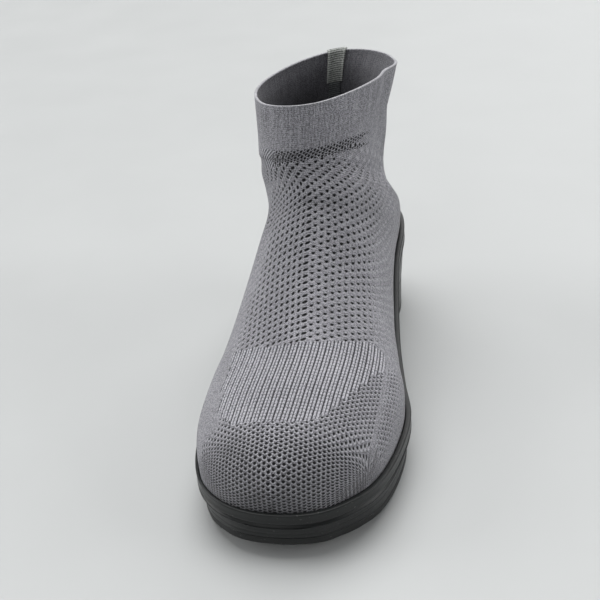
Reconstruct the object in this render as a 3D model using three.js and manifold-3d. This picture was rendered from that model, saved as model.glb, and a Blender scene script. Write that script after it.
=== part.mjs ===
// Knit sock boot on a wedge sole, right foot. Millimetres, +Z up, toe towards -Y, inner side towards +X.
// The upper is lofted through sections that run from the toe, round the ankle, to the collar.
// The sole follows the outline of the upper where the two meet, so both change together.
import * as THREE from 'three';
import { mergeVertices } from 'three/addons/utils/BufferGeometryUtils.js';
import Module from 'manifold-3d';

const wasm = await Module();
wasm.setup();

// Driving sizes of the last and the sole
const soleLength = 262;
const ballWidth = 98;
const heelWidth = 73;
const instepHeight = 75;
const heelBed = 51;
const ballBed = 16;
const toeSpring = 9;
const heelBevel = 2.5;
const archLift = 3;

// Driving sizes of the shaft
const shaftHeight = 106;
const ankleWidth = 63;
const collarWidth = 73;
const cuffHeight = 21.5;
const cuffStep = 0.5;

// Walls, layers and trim
const wall = 2;
const edgeRound = 0.6;
const clearance = 0.3;
const rimHeight = 8;
const rimThickness = 2.1;
const rimAside = 0.7;
const rimRound = 0.7;
const rimBand = 5.3;
const grooveWidth = 1.6;
const grooveDepth = 1.2;
const lineWidth = 1.2;
const lineDepth = 0.7;
const outsoleThickness = 4;
const treadRound = 0.8;
const treadDepth = 2;
const treadPitch = 13;
const treadGroove = 3;
const treadMargin = 8;
const insoleThickness = 4;
const tapeWidth = 11;
const tapeThickness = 0.9;
const pullInside = 17.5;
const pullOutside = 14;
const seamTapeWidth = 8;
const seamTapeLength = 50;
const tapeAside = 1.7;

// How finely the surfaces are cut into faces
const stepsPerSection = 3;
const stepsOverTop = 11;
const stepsUnder = 5;
const outlineSides = 72;

// Foot bed above the floor. Stations run from 0 at the heel to 1 at the toe.
// heel is the share of the rise from the ball to the heel, spring the share of the toe spring.
const bedTable = [
  { station: -0.1, heel: 1.02, spring: 0 },
  { station: 0.0, heel: 1.02, spring: 0 },
  { station: 0.12, heel: 0.97, spring: 0 },
  { station: 0.24, heel: 0.82, spring: 0 },
  { station: 0.36, heel: 0.58, spring: 0 },
  { station: 0.48, heel: 0.28, spring: 0 },
  { station: 0.58, heel: 0.1, spring: 0 },
  { station: 0.7, heel: 0.0, spring: 0 },
  { station: 0.82, heel: 0.0, spring: 0 },
  { station: 0.92, heel: 0.0, spring: 0.05 },
  { station: 1.0, heel: 0.0, spring: 0.12 },
  { station: 1.1, heel: 0.0, spring: 0.2 },
];

// Sections of the foot, toe first. top and under are the stations of a section's highest and lowest point,
// rise is its height above the bed as a share of the instep, middle and half its place and half width as
// shares of the ball width, widest the place of its widest point from the top down, crown and base how
// square it is above and below that.
const footTable = [
  { top: 0.983, rise: 0.187, under: 0.983, middle: -0.06, half: 0.0, widest: 0.5, crown: 2.0, base: 2.0 },
  { top: 0.97, rise: 0.32, under: 0.9733, middle: -0.059, half: 0.181, widest: 0.6, crown: 2.1, base: 2.6 },
  { top: 0.94, rise: 0.415, under: 0.942, middle: -0.059, half: 0.305, widest: 0.61, crown: 2.1, base: 3.4 },
  { top: 0.895, rise: 0.467, under: 0.895, middle: -0.045, half: 0.4, widest: 0.56, crown: 2.15, base: 3.9 },
  { top: 0.817, rise: 0.533, under: 0.817, middle: -0.033, half: 0.464, widest: 0.545, crown: 2.15, base: 4.0 },
  { top: 0.714, rise: 0.62, under: 0.714, middle: -0.015, half: 0.487, widest: 0.55, crown: 2.1, base: 4.0 },
  { top: 0.63, rise: 0.707, under: 0.622, middle: -0.02, half: 0.455, widest: 0.58, crown: 2.05, base: 3.9 },
  { top: 0.55, rise: 0.824, under: 0.481, middle: -0.027, half: 0.419, widest: 0.65, crown: 2.1, base: 3.6 },
  { top: 0.481, rise: 0.977, under: 0.252, middle: -0.013, half: 0.377, widest: 0.7, crown: 2.3, base: 3.2 },
];

// Sections that fan round the ankle and heel. rise and backRise are the heights of the front and back point
// above the heel bed as shares of the shaft height. middle and half are shares of the heel width.
const heelTable = [
  {
    top: 0.454, rise: 0.545, back: 0.1, backRise: -0.085,
    middle: 0.01, half: 0.508, widest: 0.71, crown: 2.5, base: 2.45,
  },
  {
    top: 0.439, rise: 0.614, back: 0.023, backRise: 0.0,
    middle: -0.01, half: 0.514, widest: 0.68, crown: 2.5, base: 2.15,
  },
  {
    top: 0.4294, rise: 0.665, back: 0.0138, backRise: 0.146,
    middle: -0.066, half: 0.471, widest: 0.62, crown: 2.5, base: 2.0,
  },
  {
    top: 0.4244, rise: 0.698, back: 0.028, backRise: 0.332,
    middle: -0.066, half: 0.457, widest: 0.576, crown: 2.45, base: 2.0,
  },
];

// A section of the shaft above the heel, as shares of the ankle width
const ankleTable = [
  {
    top: 0.4218, rise: 0.722, back: 0.0496, backRise: 0.519,
    middle: -0.066, half: 0.537, widest: 0.54, crown: 2.3, base: 2.0,
  },
];

// The collar, the lower border of its cuff, and how far the inner corner of the shaft lies behind and above
// the outer one, as shares of its half width. fold makes the inner corner sharper.
const collarTwist = { behind: 0.174, above: 0.12, fold: 0.25 };
const collarLine = { front: 0.4122, back: 0.083, frontRise: 0.965, backRise: 1.0 };
const cuffLine = { front: 0.421, back: 0.08, width: 0.941, middle: -0.036 };
const underfoot = 8;

const alongY = (station) => soleLength * (0.5 - station);
const stationOf = (y) => 0.5 - y / soleLength;

// A cubic through the rows of a table, read at a place between them
function cubic(before, from, to, after, t) {
  const a = 2 * from;
  const b = to - before;
  const c = 2 * before - 5 * from + 4 * to - after;
  const d = -before + 3 * from - 3 * to + after;
  return 0.5 * (a + t * (b + t * (c + t * d)));
}

// The bed's height at a station, smooth between the rows
function bedHeight(station) {
  const last = bedTable.length - 1;
  let i = 0;
  while (i < last - 1 && bedTable[i + 1].station < station) i += 1;
  const [from, to] = [bedTable[i], bedTable[i + 1]];
  const [before, after] = [bedTable[Math.max(i - 1, 0)], bedTable[Math.min(i + 2, last)]];
  const t = THREE.MathUtils.clamp((station - from.station) / (to.station - from.station), 0, 1);
  const heel = cubic(before.heel, from.heel, to.heel, after.heel, t);
  const spring = cubic(before.spring, from.spring, to.spring, after.spring, t);
  return ballBed + heel * (heelBed - ballBed) + spring * toeSpring;
}

const bedAt = (y) => bedHeight(stationOf(y));
const rimTopAt = (y) => bedAt(y) + rimHeight;

// The underside: flat at heel and ball, with a bevel behind, an arch between and the toe spring in front
const bevelEnd = 0.07;
const arch = { from: 0.26, to: 0.56 };
const springStart = 0.74;

function groundAt(y) {
  const station = stationOf(y);
  if (station > springStart) return toeSpring * ((station - springStart) / (1 - springStart)) ** 2;
  if (station < bevelEnd) return heelBevel * ((bevelEnd - station) / bevelEnd) ** 2;
  const through = (station - arch.from) / (arch.to - arch.from);
  return through > 0 && through < 1 ? archLift * Math.sin(Math.PI * through) ** 2 : 0;
}

// Turns the rows of the tables into sections in millimetres
function footRow(row, tip) {
  const [frontY, underY] = [alongY(row.top), alongY(row.under)];
  const frontZ = bedAt(frontY) + row.rise * instepHeight;
  return {
    frontY, frontZ,
    backY: underY, backZ: tip ? frontZ : bedAt(underY) - underfoot,
    middle: row.middle * ballWidth, half: row.half * ballWidth,
    widest: row.widest, crown: row.crown, base: row.base, behind: 0, above: 0, fold: 0, step: 0,
  };
}

function shaftRow(row, width, twist, step) {
  return {
    frontY: alongY(row.top), frontZ: heelBed + row.rise * shaftHeight,
    backY: alongY(row.back), backZ: heelBed + row.backRise * shaftHeight,
    middle: row.middle * width, half: row.half * width,
    widest: row.widest, crown: row.crown, base: row.base,
    behind: twist * collarTwist.behind, above: twist * collarTwist.above, fold: twist * collarTwist.fold,
    step,
  };
}

function cuffRow(line, drop, width, middle, twist, step) {
  const shape = { widest: 0.5, crown: 2.0, base: 1.85, half: 0.5, middle };
  const place = { top: line.front, back: line.back };
  const rises = { rise: collarLine.frontRise - drop, backRise: collarLine.backRise - drop };
  return shaftRow({ ...shape, ...place, ...rises }, width, twist, step);
}

const cuffDrop = cuffHeight / shaftHeight;
const stepDrop = cuffStep / shaftHeight;
const cuffWidth = collarWidth * cuffLine.width;
const sections = [
  ...footTable.map((row, i) => footRow(row, i === 0)),
  ...heelTable.map((row) => shaftRow(row, heelWidth, 0, 0)),
  ...ankleTable.map((row) => shaftRow(row, ankleWidth, 0.6, 0)),
  cuffRow(cuffLine, cuffDrop + stepDrop, cuffWidth, cuffLine.middle, 0.9, 0),
  cuffRow(cuffLine, cuffDrop, cuffWidth, cuffLine.middle, 0.9, cuffStep),
  cuffRow(collarLine, 0, collarWidth, 0, 1, cuffStep),
];
const collarSection = sections.length - 1;
const cuffSection = collarSection - 1;
const keys = Object.keys(sections[0]);

// The tip is where the loft closes, so the row before it is the first row turned over
const mirrored = {
  ...sections[1],
  frontY: sections[1].backY, frontZ: sections[1].backZ,
  backY: sections[1].frontY, backZ: sections[1].frontZ,
  half: -sections[1].half,
};

function sectionAt(place) {
  const i = Math.min(Math.floor(place), collarSection - 1);
  const row = (k) => (k < 0 ? mirrored : sections[Math.min(k, collarSection)]);
  const section = {};
  for (const key of keys) {
    section[key] = cubic(row(i - 1)[key], row(i)[key], row(i + 1)[key], row(i + 2)[key], place - i);
  }
  return section;
}

// A point of a section. turn runs from 0 at its top to 1 at its lowest point; side is 1 inner, -1 outer.
function pointOn(section, turn, side) {
  const { widest, crown, base, half } = section;
  const angle = turn * Math.PI;
  const over = angle <= Math.PI / 2;
  const power = 2 / ((over ? crown : base) - (side > 0 ? section.fold : 0));
  const across = Math.abs(Math.sin(angle)) ** power;
  const away = Math.abs(Math.cos(angle)) ** power;
  const down = over ? widest * (1 - away) : widest + (1 - widest) * away;
  return new THREE.Vector3(
    section.middle + side * half * across,
    THREE.MathUtils.lerp(section.frontY, section.backY, down) + side * across * section.behind * half,
    THREE.MathUtils.lerp(section.frontZ, section.backZ, down) + side * across * section.above * half,
  );
}

// The turns of the points round a section: close together over the top, wider apart underneath
const turnsOver = Array.from({ length: stepsOverTop + 1 }, (_, i) => (0.5 * i) / stepsOverTop);
const turnsUnder = Array.from({ length: stepsUnder }, (_, i) => 0.5 + (0.5 * (i + 1)) / stepsUnder);
const turns = [...turnsOver, ...turnsUnder];
const around = [
  ...turns.map((turn) => ({ turn, side: 1 })),
  ...turns.slice(1, -1).reverse().map((turn) => ({ turn, side: -1 })),
];

// The outward direction of the surface at a place, from points close by
function surfacePoint(place, turn, side) {
  return pointOn(sectionAt(place), turn, side);
}

const nearby = 0.02;

function surfaceNormal(place, turn, side) {
  const [before, after] = [Math.max(place - nearby, 0.03), Math.min(place + nearby, collarSection)];
  const along = surfacePoint(after, turn, side).sub(surfacePoint(before, turn, side));
  const step = (amount) => {
    const moved = turn + side * amount;
    if (moved < 0) return surfacePoint(place, -moved, -side);
    return moved > 1 ? surfacePoint(place, 2 - moved, -side) : surfacePoint(place, moved, side);
  };
  const round = step(nearby).sub(step(-nearby));
  return round.cross(along).normalize();
}

// A point of the upper's surface, moved outwards by an offset
function upperPoint(place, turn, side, offset) {
  const section = sectionAt(place);
  const point = pointOn(section, turn, side);
  if (place === 0) return point.add(new THREE.Vector3(0, -offset, 0));
  const raised = offset > -wall / 2 ? section.step : 0;
  return point.addScaledVector(surfaceNormal(place, turn, side), offset + raised);
}

// Makes a solid from rings of points that all have the same count, closed at both ends
function loft(rings) {
  const positions = [];
  const count = rings[0].length;
  const push = (...points) => points.forEach((p) => positions.push(p.x, p.y, p.z));
  for (let r = 0; r + 1 < rings.length; r += 1) {
    for (let i = 0; i < count; i += 1) {
      const next = (i + 1) % count;
      push(rings[r][i], rings[r][next], rings[r + 1][next]);
      push(rings[r][i], rings[r + 1][next], rings[r + 1][i]);
    }
  }
  for (const [ring, flip] of [[rings[0], true], [rings.at(-1), false]]) {
    const middle = ring.reduce((sum, p) => sum.add(p), new THREE.Vector3()).divideScalar(count);
    for (let i = 0; i < count; i += 1) {
      const next = (i + 1) % count;
      if (flip) push(middle, ring[next], ring[i]);
      else push(middle, ring[i], ring[next]);
    }
  }
  const geometry = new THREE.BufferGeometry();
  geometry.setAttribute('position', new THREE.Float32BufferAttribute(positions, 3));
  return geometry;
}

// Between three.js geometries and solids that can be cut
const mergeDistance = 1e-4;

function solid(geometry) {
  const bare = geometry.index ? geometry.toNonIndexed() : geometry.clone();
  bare.deleteAttribute('normal');
  bare.deleteAttribute('uv');
  const merged = mergeVertices(bare, mergeDistance);
  return new wasm.Manifold(new wasm.Mesh({
    numProp: 3,
    vertProperties: merged.attributes.position.array,
    triVerts: new Uint32Array(merged.index.array),
  }));
}

// Slivers that the cuts leave are smaller than this
const sliver = 0.02;

function geometryOf(cut) {
  const { vertProperties, triVerts, numProp } = cut.simplify(sliver).getMesh();
  const positions = new Float32Array((vertProperties.length / numProp) * 3);
  for (let i = 0; i < positions.length / 3; i += 1) {
    positions.set(vertProperties.subarray(i * numProp, i * numProp + 3), i * 3);
  }
  const geometry = new THREE.BufferGeometry();
  geometry.setAttribute('position', new THREE.BufferAttribute(positions, 3));
  geometry.setIndex(new THREE.BufferAttribute(new Uint32Array(triVerts), 1));
  geometry.computeVertexNormals();
  return geometry;
}

// The places of the lofted rings, closer together at the toe and none inside the step at the cuff
function loftPlaces() {
  const places = [];
  for (let i = 0; i < collarSection; i += 1) {
    const steps = i === cuffSection - 1 ? 1 : stepsPerSection;
    for (let k = 0; k < steps; k += 1) places.push(i + k / steps);
  }
  return places;
}

// The whole foot and shaft as one closed form, offset from the upper's outer surface
function lastForm(offset, pastCollar) {
  const tip = 0.06;
  const places = [tip, ...loftPlaces().slice(1)];
  const ring = (place, out) => around.map(({ turn, side }) => upperPoint(place, turn, side, out));
  const rings = places.map((place) => ring(place, offset));
  const rim = ring(collarSection, offset);
  const rise = (points, up) => points.map((p) => new THREE.Vector3(p.x, p.y, p.z + up));
  if (pastCollar) rings.push(rim, rise(rim, pastCollar));
  else rings.push(rise(rim, -edgeRound), rise(ring(collarSection, offset - edgeRound), 0));
  return solid(loft(rings));
}

// Everything between two heights that follow the bed, as a block wider than the boot
const blockMargin = 30;
const blockStations = 40;

function bedBlock(under, over) {
  const shape = new THREE.Shape();
  const reach = soleLength / 2 + blockMargin;
  const ys = Array.from({ length: blockStations + 1 }, (_, i) => (2 * i / blockStations - 1) * reach);
  ys.forEach((y, i) => (i ? shape.lineTo(y, under(y)) : shape.moveTo(y, under(y))));
  [...ys].reverse().forEach((y) => shape.lineTo(y, over(y)));
  const width = ballWidth + 2 * blockMargin;
  const block = new THREE.ExtrudeGeometry(shape, { depth: width, bevelEnabled: false });
  block.rotateX(Math.PI / 2);
  block.rotateZ(Math.PI / 2);
  block.translate(-width / 2, 0, 0);
  return solid(block);
}

const aboveAll = () => heelBed + shaftHeight + blockMargin;

// The line round one side of the upper at the height of the sole's rim, from the toe to the heel
function rimChain(side) {
  const placeSteps = 160;
  const turnSteps = 80;
  const over = (p) => p.z - rimTopAt(p.y);
  const crossing = (from, to) => from.clone().lerp(to, over(from) / (over(from) - over(to)));
  const chain = [];
  let previous = surfacePoint(0, 1, side);
  for (let i = 1; i <= placeSteps; i += 1) {
    const place = (i / placeSteps) * (cuffSection - 1);
    const lowest = surfacePoint(place, 1, side);
    if (over(previous) > 0 !== over(lowest) > 0) chain.push(crossing(previous, lowest));
    if (over(previous) <= 0 && over(lowest) > 0) break;
    previous = lowest;
    if (over(lowest) > 0) continue;
    for (let k = turnSteps - 1; k >= 0; k -= 1) {
      const from = surfacePoint(place, (k + 1) / turnSteps, side);
      const to = surfacePoint(place, k / turnSteps, side);
      if (over(from) <= 0 && over(to) > 0) {
        chain.push(crossing(from, to));
        break;
      }
    }
  }
  return chain.map((p) => new THREE.Vector2(p.x, p.y));
}

// The sole's outline as evenly spaced points with their outward directions
function soleOutline() {
  const [inner, outer] = [rimChain(1), rimChain(-1)];
  const loop = [...inner.slice(0, -1), ...outer.reverse()];
  const points = loop.map((p) => new THREE.Vector3(p.x, p.y, 0));
  const curve = new THREE.CatmullRomCurve3(points, true);
  curve.arcLengthDivisions = 4 * points.length;
  return Array.from({ length: outlineSides }, (_, i) => {
    const point = curve.getPointAt(i / outlineSides);
    const tangent = curve.getTangentAt(i / outlineSides);
    return { point, out: new THREE.Vector3(tangent.y, -tangent.x, 0).normalize() };
  });
}

const outline = soleOutline();

// How far the foot of the sole's side stands out from under the rim: in at the heel, a little out at the toe
const flareTable = [
  { station: 0, out: -0.8 },
  { station: 0.3, out: -1.5 },
  { station: 0.6, out: -1.1 },
  { station: 0.91, out: -1.1 },
  { station: 0.95, out: -0.7 },
  { station: 0.977, out: 0.0 },
  { station: 1, out: 0.6 },
];

function flareAt(y) {
  const station = THREE.MathUtils.clamp(stationOf(y), 0, 1);
  const i = Math.max(flareTable.findIndex((row) => row.station >= station), 1);
  const [from, to] = [flareTable[i - 1], flareTable[i]];
  const t = (station - from.station) / (to.station - from.station);
  return THREE.MathUtils.lerp(from.out, to.out, THREE.MathUtils.smoothstep(t, 0, 1)) * rimThickness;
}

// A ring of the sole: out is the distance outside the upper, height gives z at each y. The whole sole stands
// a little to the inner side, where its rim is thicker than on the outer side.
function soleRing(out, height) {
  return outline.map(({ point, out: direction }) => {
    const amount = typeof out === 'function' ? out(point.y) : out;
    const moved = point.clone().addScaledVector(direction, amount);
    moved.x += rimAside;
    return moved.setZ(height(moved.y));
  });
}

const rimOut = clearance + rimThickness;
const bandFoot = (y) => rimTopAt(y) - rimBand;
const grooveFoot = (y) => bandFoot(y) - grooveWidth;
const midsoleFoot = (y) => groundAt(y) + outsoleThickness + clearance;
const wallOut = (share) => (y) => rimOut + share * flareAt(y);
const between = (share) => (y) => THREE.MathUtils.lerp(grooveFoot(y), midsoleFoot(y), share);

// The side of the wedge from the rim down: rim band, groove, ridge, upper wall, fine line, lower wall
function wedgeBody() {
  const lineAt = 0.55;
  const ridge = 0.12;
  return [
    soleRing(rimOut - rimThickness - 1, rimTopAt),
    soleRing(rimOut - rimRound, rimTopAt),
    soleRing(rimOut, (y) => rimTopAt(y) - rimRound),
    soleRing(rimOut, bandFoot),
    soleRing(rimOut - grooveDepth, (y) => bandFoot(y) - grooveWidth * 0.3),
    soleRing(rimOut - grooveDepth, (y) => bandFoot(y) - grooveWidth * 0.7),
    soleRing(rimOut, grooveFoot),
    soleRing(wallOut(0.35), between(ridge)),
    soleRing(wallOut(0.8), between(lineAt)),
    soleRing((y) => wallOut(0.85)(y) - lineDepth, (y) => between(lineAt)(y) - lineWidth / 2),
    soleRing(wallOut(0.9), (y) => between(lineAt)(y) - lineWidth),
    soleRing(wallOut(1), midsoleFoot),
    soleRing(wallOut(1), () => -blockMargin),
  ];
}

function midsole() {
  const body = solid(loft(wedgeBody().reverse())).intersect(bedBlock(midsoleFoot, aboveAll));
  const cavity = lastForm(clearance, 0).intersect(bedBlock(bedAt, aboveAll));
  return body.subtract(cavity);
}

// The tread layer, with grooves across it at the heel and under the forefoot that stop short of its edge
const treads = [{ from: 0.03, to: 0.25 }, { from: 0.57, to: 0.97 }];

function outsole() {
  const top = (y) => groundAt(y) + outsoleThickness;
  const edge = wallOut(1);
  const rings = [
    soleRing((y) => edge(y) - blockMargin * 0.25, () => -blockMargin),
    soleRing((y) => edge(y) - treadRound, groundAt),
    soleRing(edge, (y) => groundAt(y) + treadRound),
    soleRing(edge, top),
    soleRing(edge, () => blockMargin),
  ];
  let body = solid(loft(rings)).intersect(bedBlock(groundAt, top));
  const inset = (y) => edge(y) - treadMargin;
  const field = solid(loft([soleRing(inset, () => -blockMargin), soleRing(inset, () => blockMargin)]));
  const width = ballWidth + 2 * blockMargin;
  for (const { from, to } of treads) {
    const count = Math.floor(((to - from) * soleLength) / treadPitch);
    for (let i = 0; i <= count; i += 1) {
      const y = alongY(from) - (i + 0.5) * treadPitch;
      const groove = new THREE.BoxGeometry(width, treadGroove, 2 * treadDepth);
      groove.translate(0, y, groundAt(y));
      body = body.subtract(solid(groove).intersect(field));
    }
  }
  return body;
}

// The knitted upper: the outer form less the inner one, cut off just above the foot bed
function upper() {
  const shell = lastForm(0, 0).subtract(lastForm(-wall, blockMargin));
  return shell.intersect(bedBlock((y) => bedAt(y) + clearance, aboveAll));
}

function insole() {
  const inside = lastForm(-wall - clearance, 0);
  const foot = (y) => bedAt(y) + clearance;
  return inside.intersect(bedBlock(foot, (y) => foot(y) + insoleThickness));
}

// A point of the back seam: across from the centre line, and down the back from the collar's edge
const collarY = sectionAt(collarSection).backY;

function backPlace(drop) {
  let [low, high] = [footTable.length, collarSection];
  const target = sectionAt(collarSection).backZ - drop;
  for (let i = 0; i < 30; i += 1) {
    const middle = (low + high) / 2;
    if (sectionAt(middle).backZ < target) low = middle;
    else high = middle;
  }
  return (low + high) / 2;
}

// How far round a section lies the point that is that far across from its lowest point
function turnAcross(section, across, side) {
  const power = 2 / (section.base - (side > 0 ? section.fold : 0));
  const share = Math.min(Math.abs(across) / section.half, 1);
  return 1 - Math.asin(share ** (1 / power)) / Math.PI;
}

// A ribbon along the back seam. Each step of its path has a drop below the collar, an offset from the
// upper's outer surface, a height above the collar's edge, and out and up for the way that its face looks.
// It is made a little too thick towards the wall, and what lies in the wall is cut off afterwards.
const tapeColumns = 4;
const tapeSink = 0.8;

function ribbon(path, width) {
  const line = (step, thick) => Array.from({ length: tapeColumns + 1 }, (_, i) => {
    const across = (i / tapeColumns - 0.5) * width + tapeAside;
    const place = backPlace(Math.max(step.drop, 0));
    const side = across < 0 ? -1 : 1;
    const turn = turnAcross(sectionAt(place), across, side);
    const point = upperPoint(place, turn, side, step.offset + thick * step.out);
    point.z += step.above + thick * step.up;
    return point;
  });
  const rings = path.map((step) => [...line(step, tapeThickness), ...line(step, -tapeSink).reverse()]);
  return solid(loft(rings));
}

function drops(from, to, count) {
  return Array.from({ length: count + 1 }, (_, i) => THREE.MathUtils.lerp(from, to, i / count));
}

const insideFace = { offset: -wall - clearance, out: -1, up: 0, above: 0 };
const outsideFace = { offset: clearance, out: 1, up: 0, above: 0 };

function pullTape() {
  const over = { drop: 0, above: clearance, out: 0, up: 1 };
  const folded = ribbon([
    ...drops(pullInside, 0, 4).map((drop) => ({ ...insideFace, drop })),
    { ...over, offset: insideFace.offset, out: -1 },
    { ...over, offset: -wall / 2 },
    { ...over, offset: outsideFace.offset, out: 1 },
    ...drops(0, pullOutside, 4).map((drop) => ({ ...outsideFace, drop })),
  ], tapeWidth);
  const grownWall = lastForm(clearance, clearance).subtract(lastForm(-wall - clearance, blockMargin));
  return folded.subtract(grownWall);
}

function seamTape() {
  const top = pullInside + clearance;
  const steps = drops(top + seamTapeLength, top, 8).map((drop) => ({ ...insideFace, drop }));
  return ribbon(steps, seamTapeWidth).intersect(lastForm(-wall - clearance, blockMargin));
}

// Colours and finishes
const knit = new THREE.MeshStandardMaterial({ color: 0x8b8990, roughness: 0.9, metalness: 0 });
const foam = new THREE.MeshStandardMaterial({ color: 0x232525, roughness: 0.5, metalness: 0 });
const rubber = new THREE.MeshStandardMaterial({ color: 0x1c1d1d, roughness: 0.6, metalness: 0 });
const liner = new THREE.MeshStandardMaterial({ color: 0x4a4b4e, roughness: 0.95, metalness: 0 });
const ribbonWeave = new THREE.MeshStandardMaterial({ color: 0x8d928d, roughness: 0.7, metalness: 0 });

function piece(name, made, material) {
  const mesh = new THREE.Mesh(geometryOf(made), material);
  mesh.name = name;
  return mesh;
}

const boot = new THREE.Group();
boot.add(
  piece('outsole', outsole(), rubber),
  piece('midsole', midsole(), foam),
  piece('upper', upper(), knit),
  piece('insole', insole(), liner),
  piece('seam_tape', seamTape(), ribbonWeave),
  piece('pull_tape', pullTape(), ribbonWeave),
);

// The origin is the middle of the boot's box, on the floor
const box = new THREE.Box3().setFromObject(boot, true);
const middle = box.getCenter(new THREE.Vector3());
boot.position.set(-middle.x, -middle.y, -box.min.z);

export default boot;
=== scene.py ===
import math

import bpy
import numpy as np
from mathutils import Matrix, Vector


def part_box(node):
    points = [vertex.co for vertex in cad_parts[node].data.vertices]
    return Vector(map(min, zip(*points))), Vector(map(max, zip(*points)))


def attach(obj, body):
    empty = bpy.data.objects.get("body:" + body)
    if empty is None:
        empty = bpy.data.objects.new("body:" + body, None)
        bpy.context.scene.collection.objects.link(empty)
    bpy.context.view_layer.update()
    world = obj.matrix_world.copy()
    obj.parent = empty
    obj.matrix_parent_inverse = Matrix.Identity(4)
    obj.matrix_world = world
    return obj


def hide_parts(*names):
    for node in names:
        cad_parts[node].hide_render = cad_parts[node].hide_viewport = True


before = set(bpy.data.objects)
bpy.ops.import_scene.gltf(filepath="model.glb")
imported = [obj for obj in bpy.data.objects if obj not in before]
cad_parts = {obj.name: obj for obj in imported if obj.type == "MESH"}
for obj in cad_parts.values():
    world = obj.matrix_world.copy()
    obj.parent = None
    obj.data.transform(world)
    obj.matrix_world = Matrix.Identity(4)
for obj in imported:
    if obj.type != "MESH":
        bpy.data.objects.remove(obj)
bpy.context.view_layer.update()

# Sizes of the last, the shaft and the sole in millimetres, the same as those of the solids
SOLE_LENGTH = 262.0
BALL_WIDTH = 98.0
HEEL_WIDTH = 73.0
INSTEP_HEIGHT = 75.0
HEEL_BED = 51.0
BALL_BED = 16.0
TOE_SPRING = 9.0
HEEL_BEVEL = 2.5
ARCH_LIFT = 3.0
SHAFT_HEIGHT = 106.0
ANKLE_WIDTH = 63.0
COLLAR_WIDTH = 73.0
CUFF_HEIGHT = 21.5
CUFF_STEP = 0.5
WALL = 2.0
CLEARANCE = 0.3
RIM_HEIGHT = 8.0
RIM_THICKNESS = 2.1
RIM_ASIDE = 0.7
RIM_ROUND = 0.7
RIM_BAND = 5.3
GROOVE_WIDTH = 1.6
GROOVE_DEPTH = 1.2
LINE_WIDTH = 1.2
LINE_DEPTH = 0.7
OUTSOLE_THICKNESS = 4.0
TREAD_ROUND = 0.8
TREAD_DEPTH = 2.0
TREAD_PITCH = 13.0
TREAD_GROOVE = 3.0
TREAD_MARGIN = 8.0
TREADS = ((0.03, 0.25), (0.57, 0.97))
INSOLE_THICKNESS = 4.0
TAPE_WIDTH = 11.0
TAPE_THICKNESS = 0.9
PULL_INSIDE = 17.5
PULL_OUTSIDE = 14.0
SEAM_TAPE_WIDTH = 8.0
SEAM_TAPE_LENGTH = 50.0
TAPE_ASIDE = 1.7


def table(names, *rows):
    """A short table with named columns, as one array for each name."""
    return dict(zip(names.split(), np.array(rows, float).T))


# The foot bed above the floor, from behind the heel at station 0 to past the toe at station 1
BED = table(
    "station heel spring",
    (-0.1, 1.02, 0),
    (0.0, 1.02, 0),
    (0.12, 0.97, 0),
    (0.24, 0.82, 0),
    (0.36, 0.58, 0),
    (0.48, 0.28, 0),
    (0.58, 0.1, 0),
    (0.7, 0.0, 0),
    (0.82, 0.0, 0),
    (0.92, 0.0, 0.05),
    (1.0, 0.0, 0.12),
    (1.1, 0.0, 0.2),
)

# Sections of the foot, toe first, as shares of the sole's length, the instep's height and the ball's width
FOOT = table(
    "top rise under middle half widest crown base",
    (0.983, 0.187, 0.983, -0.06, 0.0, 0.5, 2.0, 2.0),
    (0.97, 0.32, 0.9733, -0.059, 0.181, 0.6, 2.1, 2.6),
    (0.94, 0.415, 0.942, -0.059, 0.305, 0.61, 2.1, 3.4),
    (0.895, 0.467, 0.895, -0.045, 0.4, 0.56, 2.15, 3.9),
    (0.817, 0.533, 0.817, -0.033, 0.464, 0.545, 2.15, 4.0),
    (0.714, 0.62, 0.714, -0.015, 0.487, 0.55, 2.1, 4.0),
    (0.63, 0.707, 0.622, -0.02, 0.455, 0.58, 2.05, 3.9),
    (0.55, 0.824, 0.481, -0.027, 0.419, 0.65, 2.1, 3.6),
    (0.481, 0.977, 0.252, -0.013, 0.377, 0.7, 2.3, 3.2),
)

# Sections that fan round the ankle and heel, then the one above the heel, as shares of the shaft's height
# and of the width named with them
HEEL = table(
    "top rise back back_rise middle half widest crown base",
    (0.454, 0.545, 0.1, -0.085, 0.01, 0.508, 0.71, 2.5, 2.45),
    (0.439, 0.614, 0.023, 0.0, -0.01, 0.514, 0.68, 2.5, 2.15),
    (0.4294, 0.665, 0.0138, 0.146, -0.066, 0.471, 0.62, 2.5, 2.0),
    (0.4244, 0.698, 0.028, 0.332, -0.066, 0.457, 0.576, 2.45, 2.0),
)
ANKLE = table(
    "top rise back back_rise middle half widest crown base",
    (0.4218, 0.722, 0.0496, 0.519, -0.066, 0.537, 0.54, 2.3, 2.0),
)
CUFF_DROP = CUFF_HEIGHT / SHAFT_HEIGHT
CUFF = table(
    "top rise back back_rise middle half widest crown base",
    (0.421, 0.965 - CUFF_DROP, 0.08, 1 - CUFF_DROP, -0.0339, 0.4705, 0.5, 2.0, 1.85),
    (0.4122, 0.965, 0.083, 1.0, 0.0, 0.5, 0.5, 2.0, 1.85),
)
COLLAR_TWIST = {"behind": 0.174, "above": 0.12, "fold": 0.25}
UNDERFOOT = 8.0
FIRST_HEEL = 9
ANKLE_PLACE = 13
COLLAR_PLACE = 15

# How far the foot of the sole's side stands out from under the rim
FLARE = table(
    "station out",
    (0, -0.8),
    (0.3, -1.5),
    (0.6, -1.1),
    (0.91, -1.1),
    (0.95, -0.7),
    (0.977, 0.0),
    (1, 0.6),
)
BEVEL_END = 0.07
ARCH = (0.26, 0.56)
SPRING_START = 0.74


def smooth(low, high, x):
    """0 below low and 1 above high, with soft ends."""
    t = np.clip((x - low) / (high - low), 0, 1)
    return t * t * (3 - 2 * t)


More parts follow.
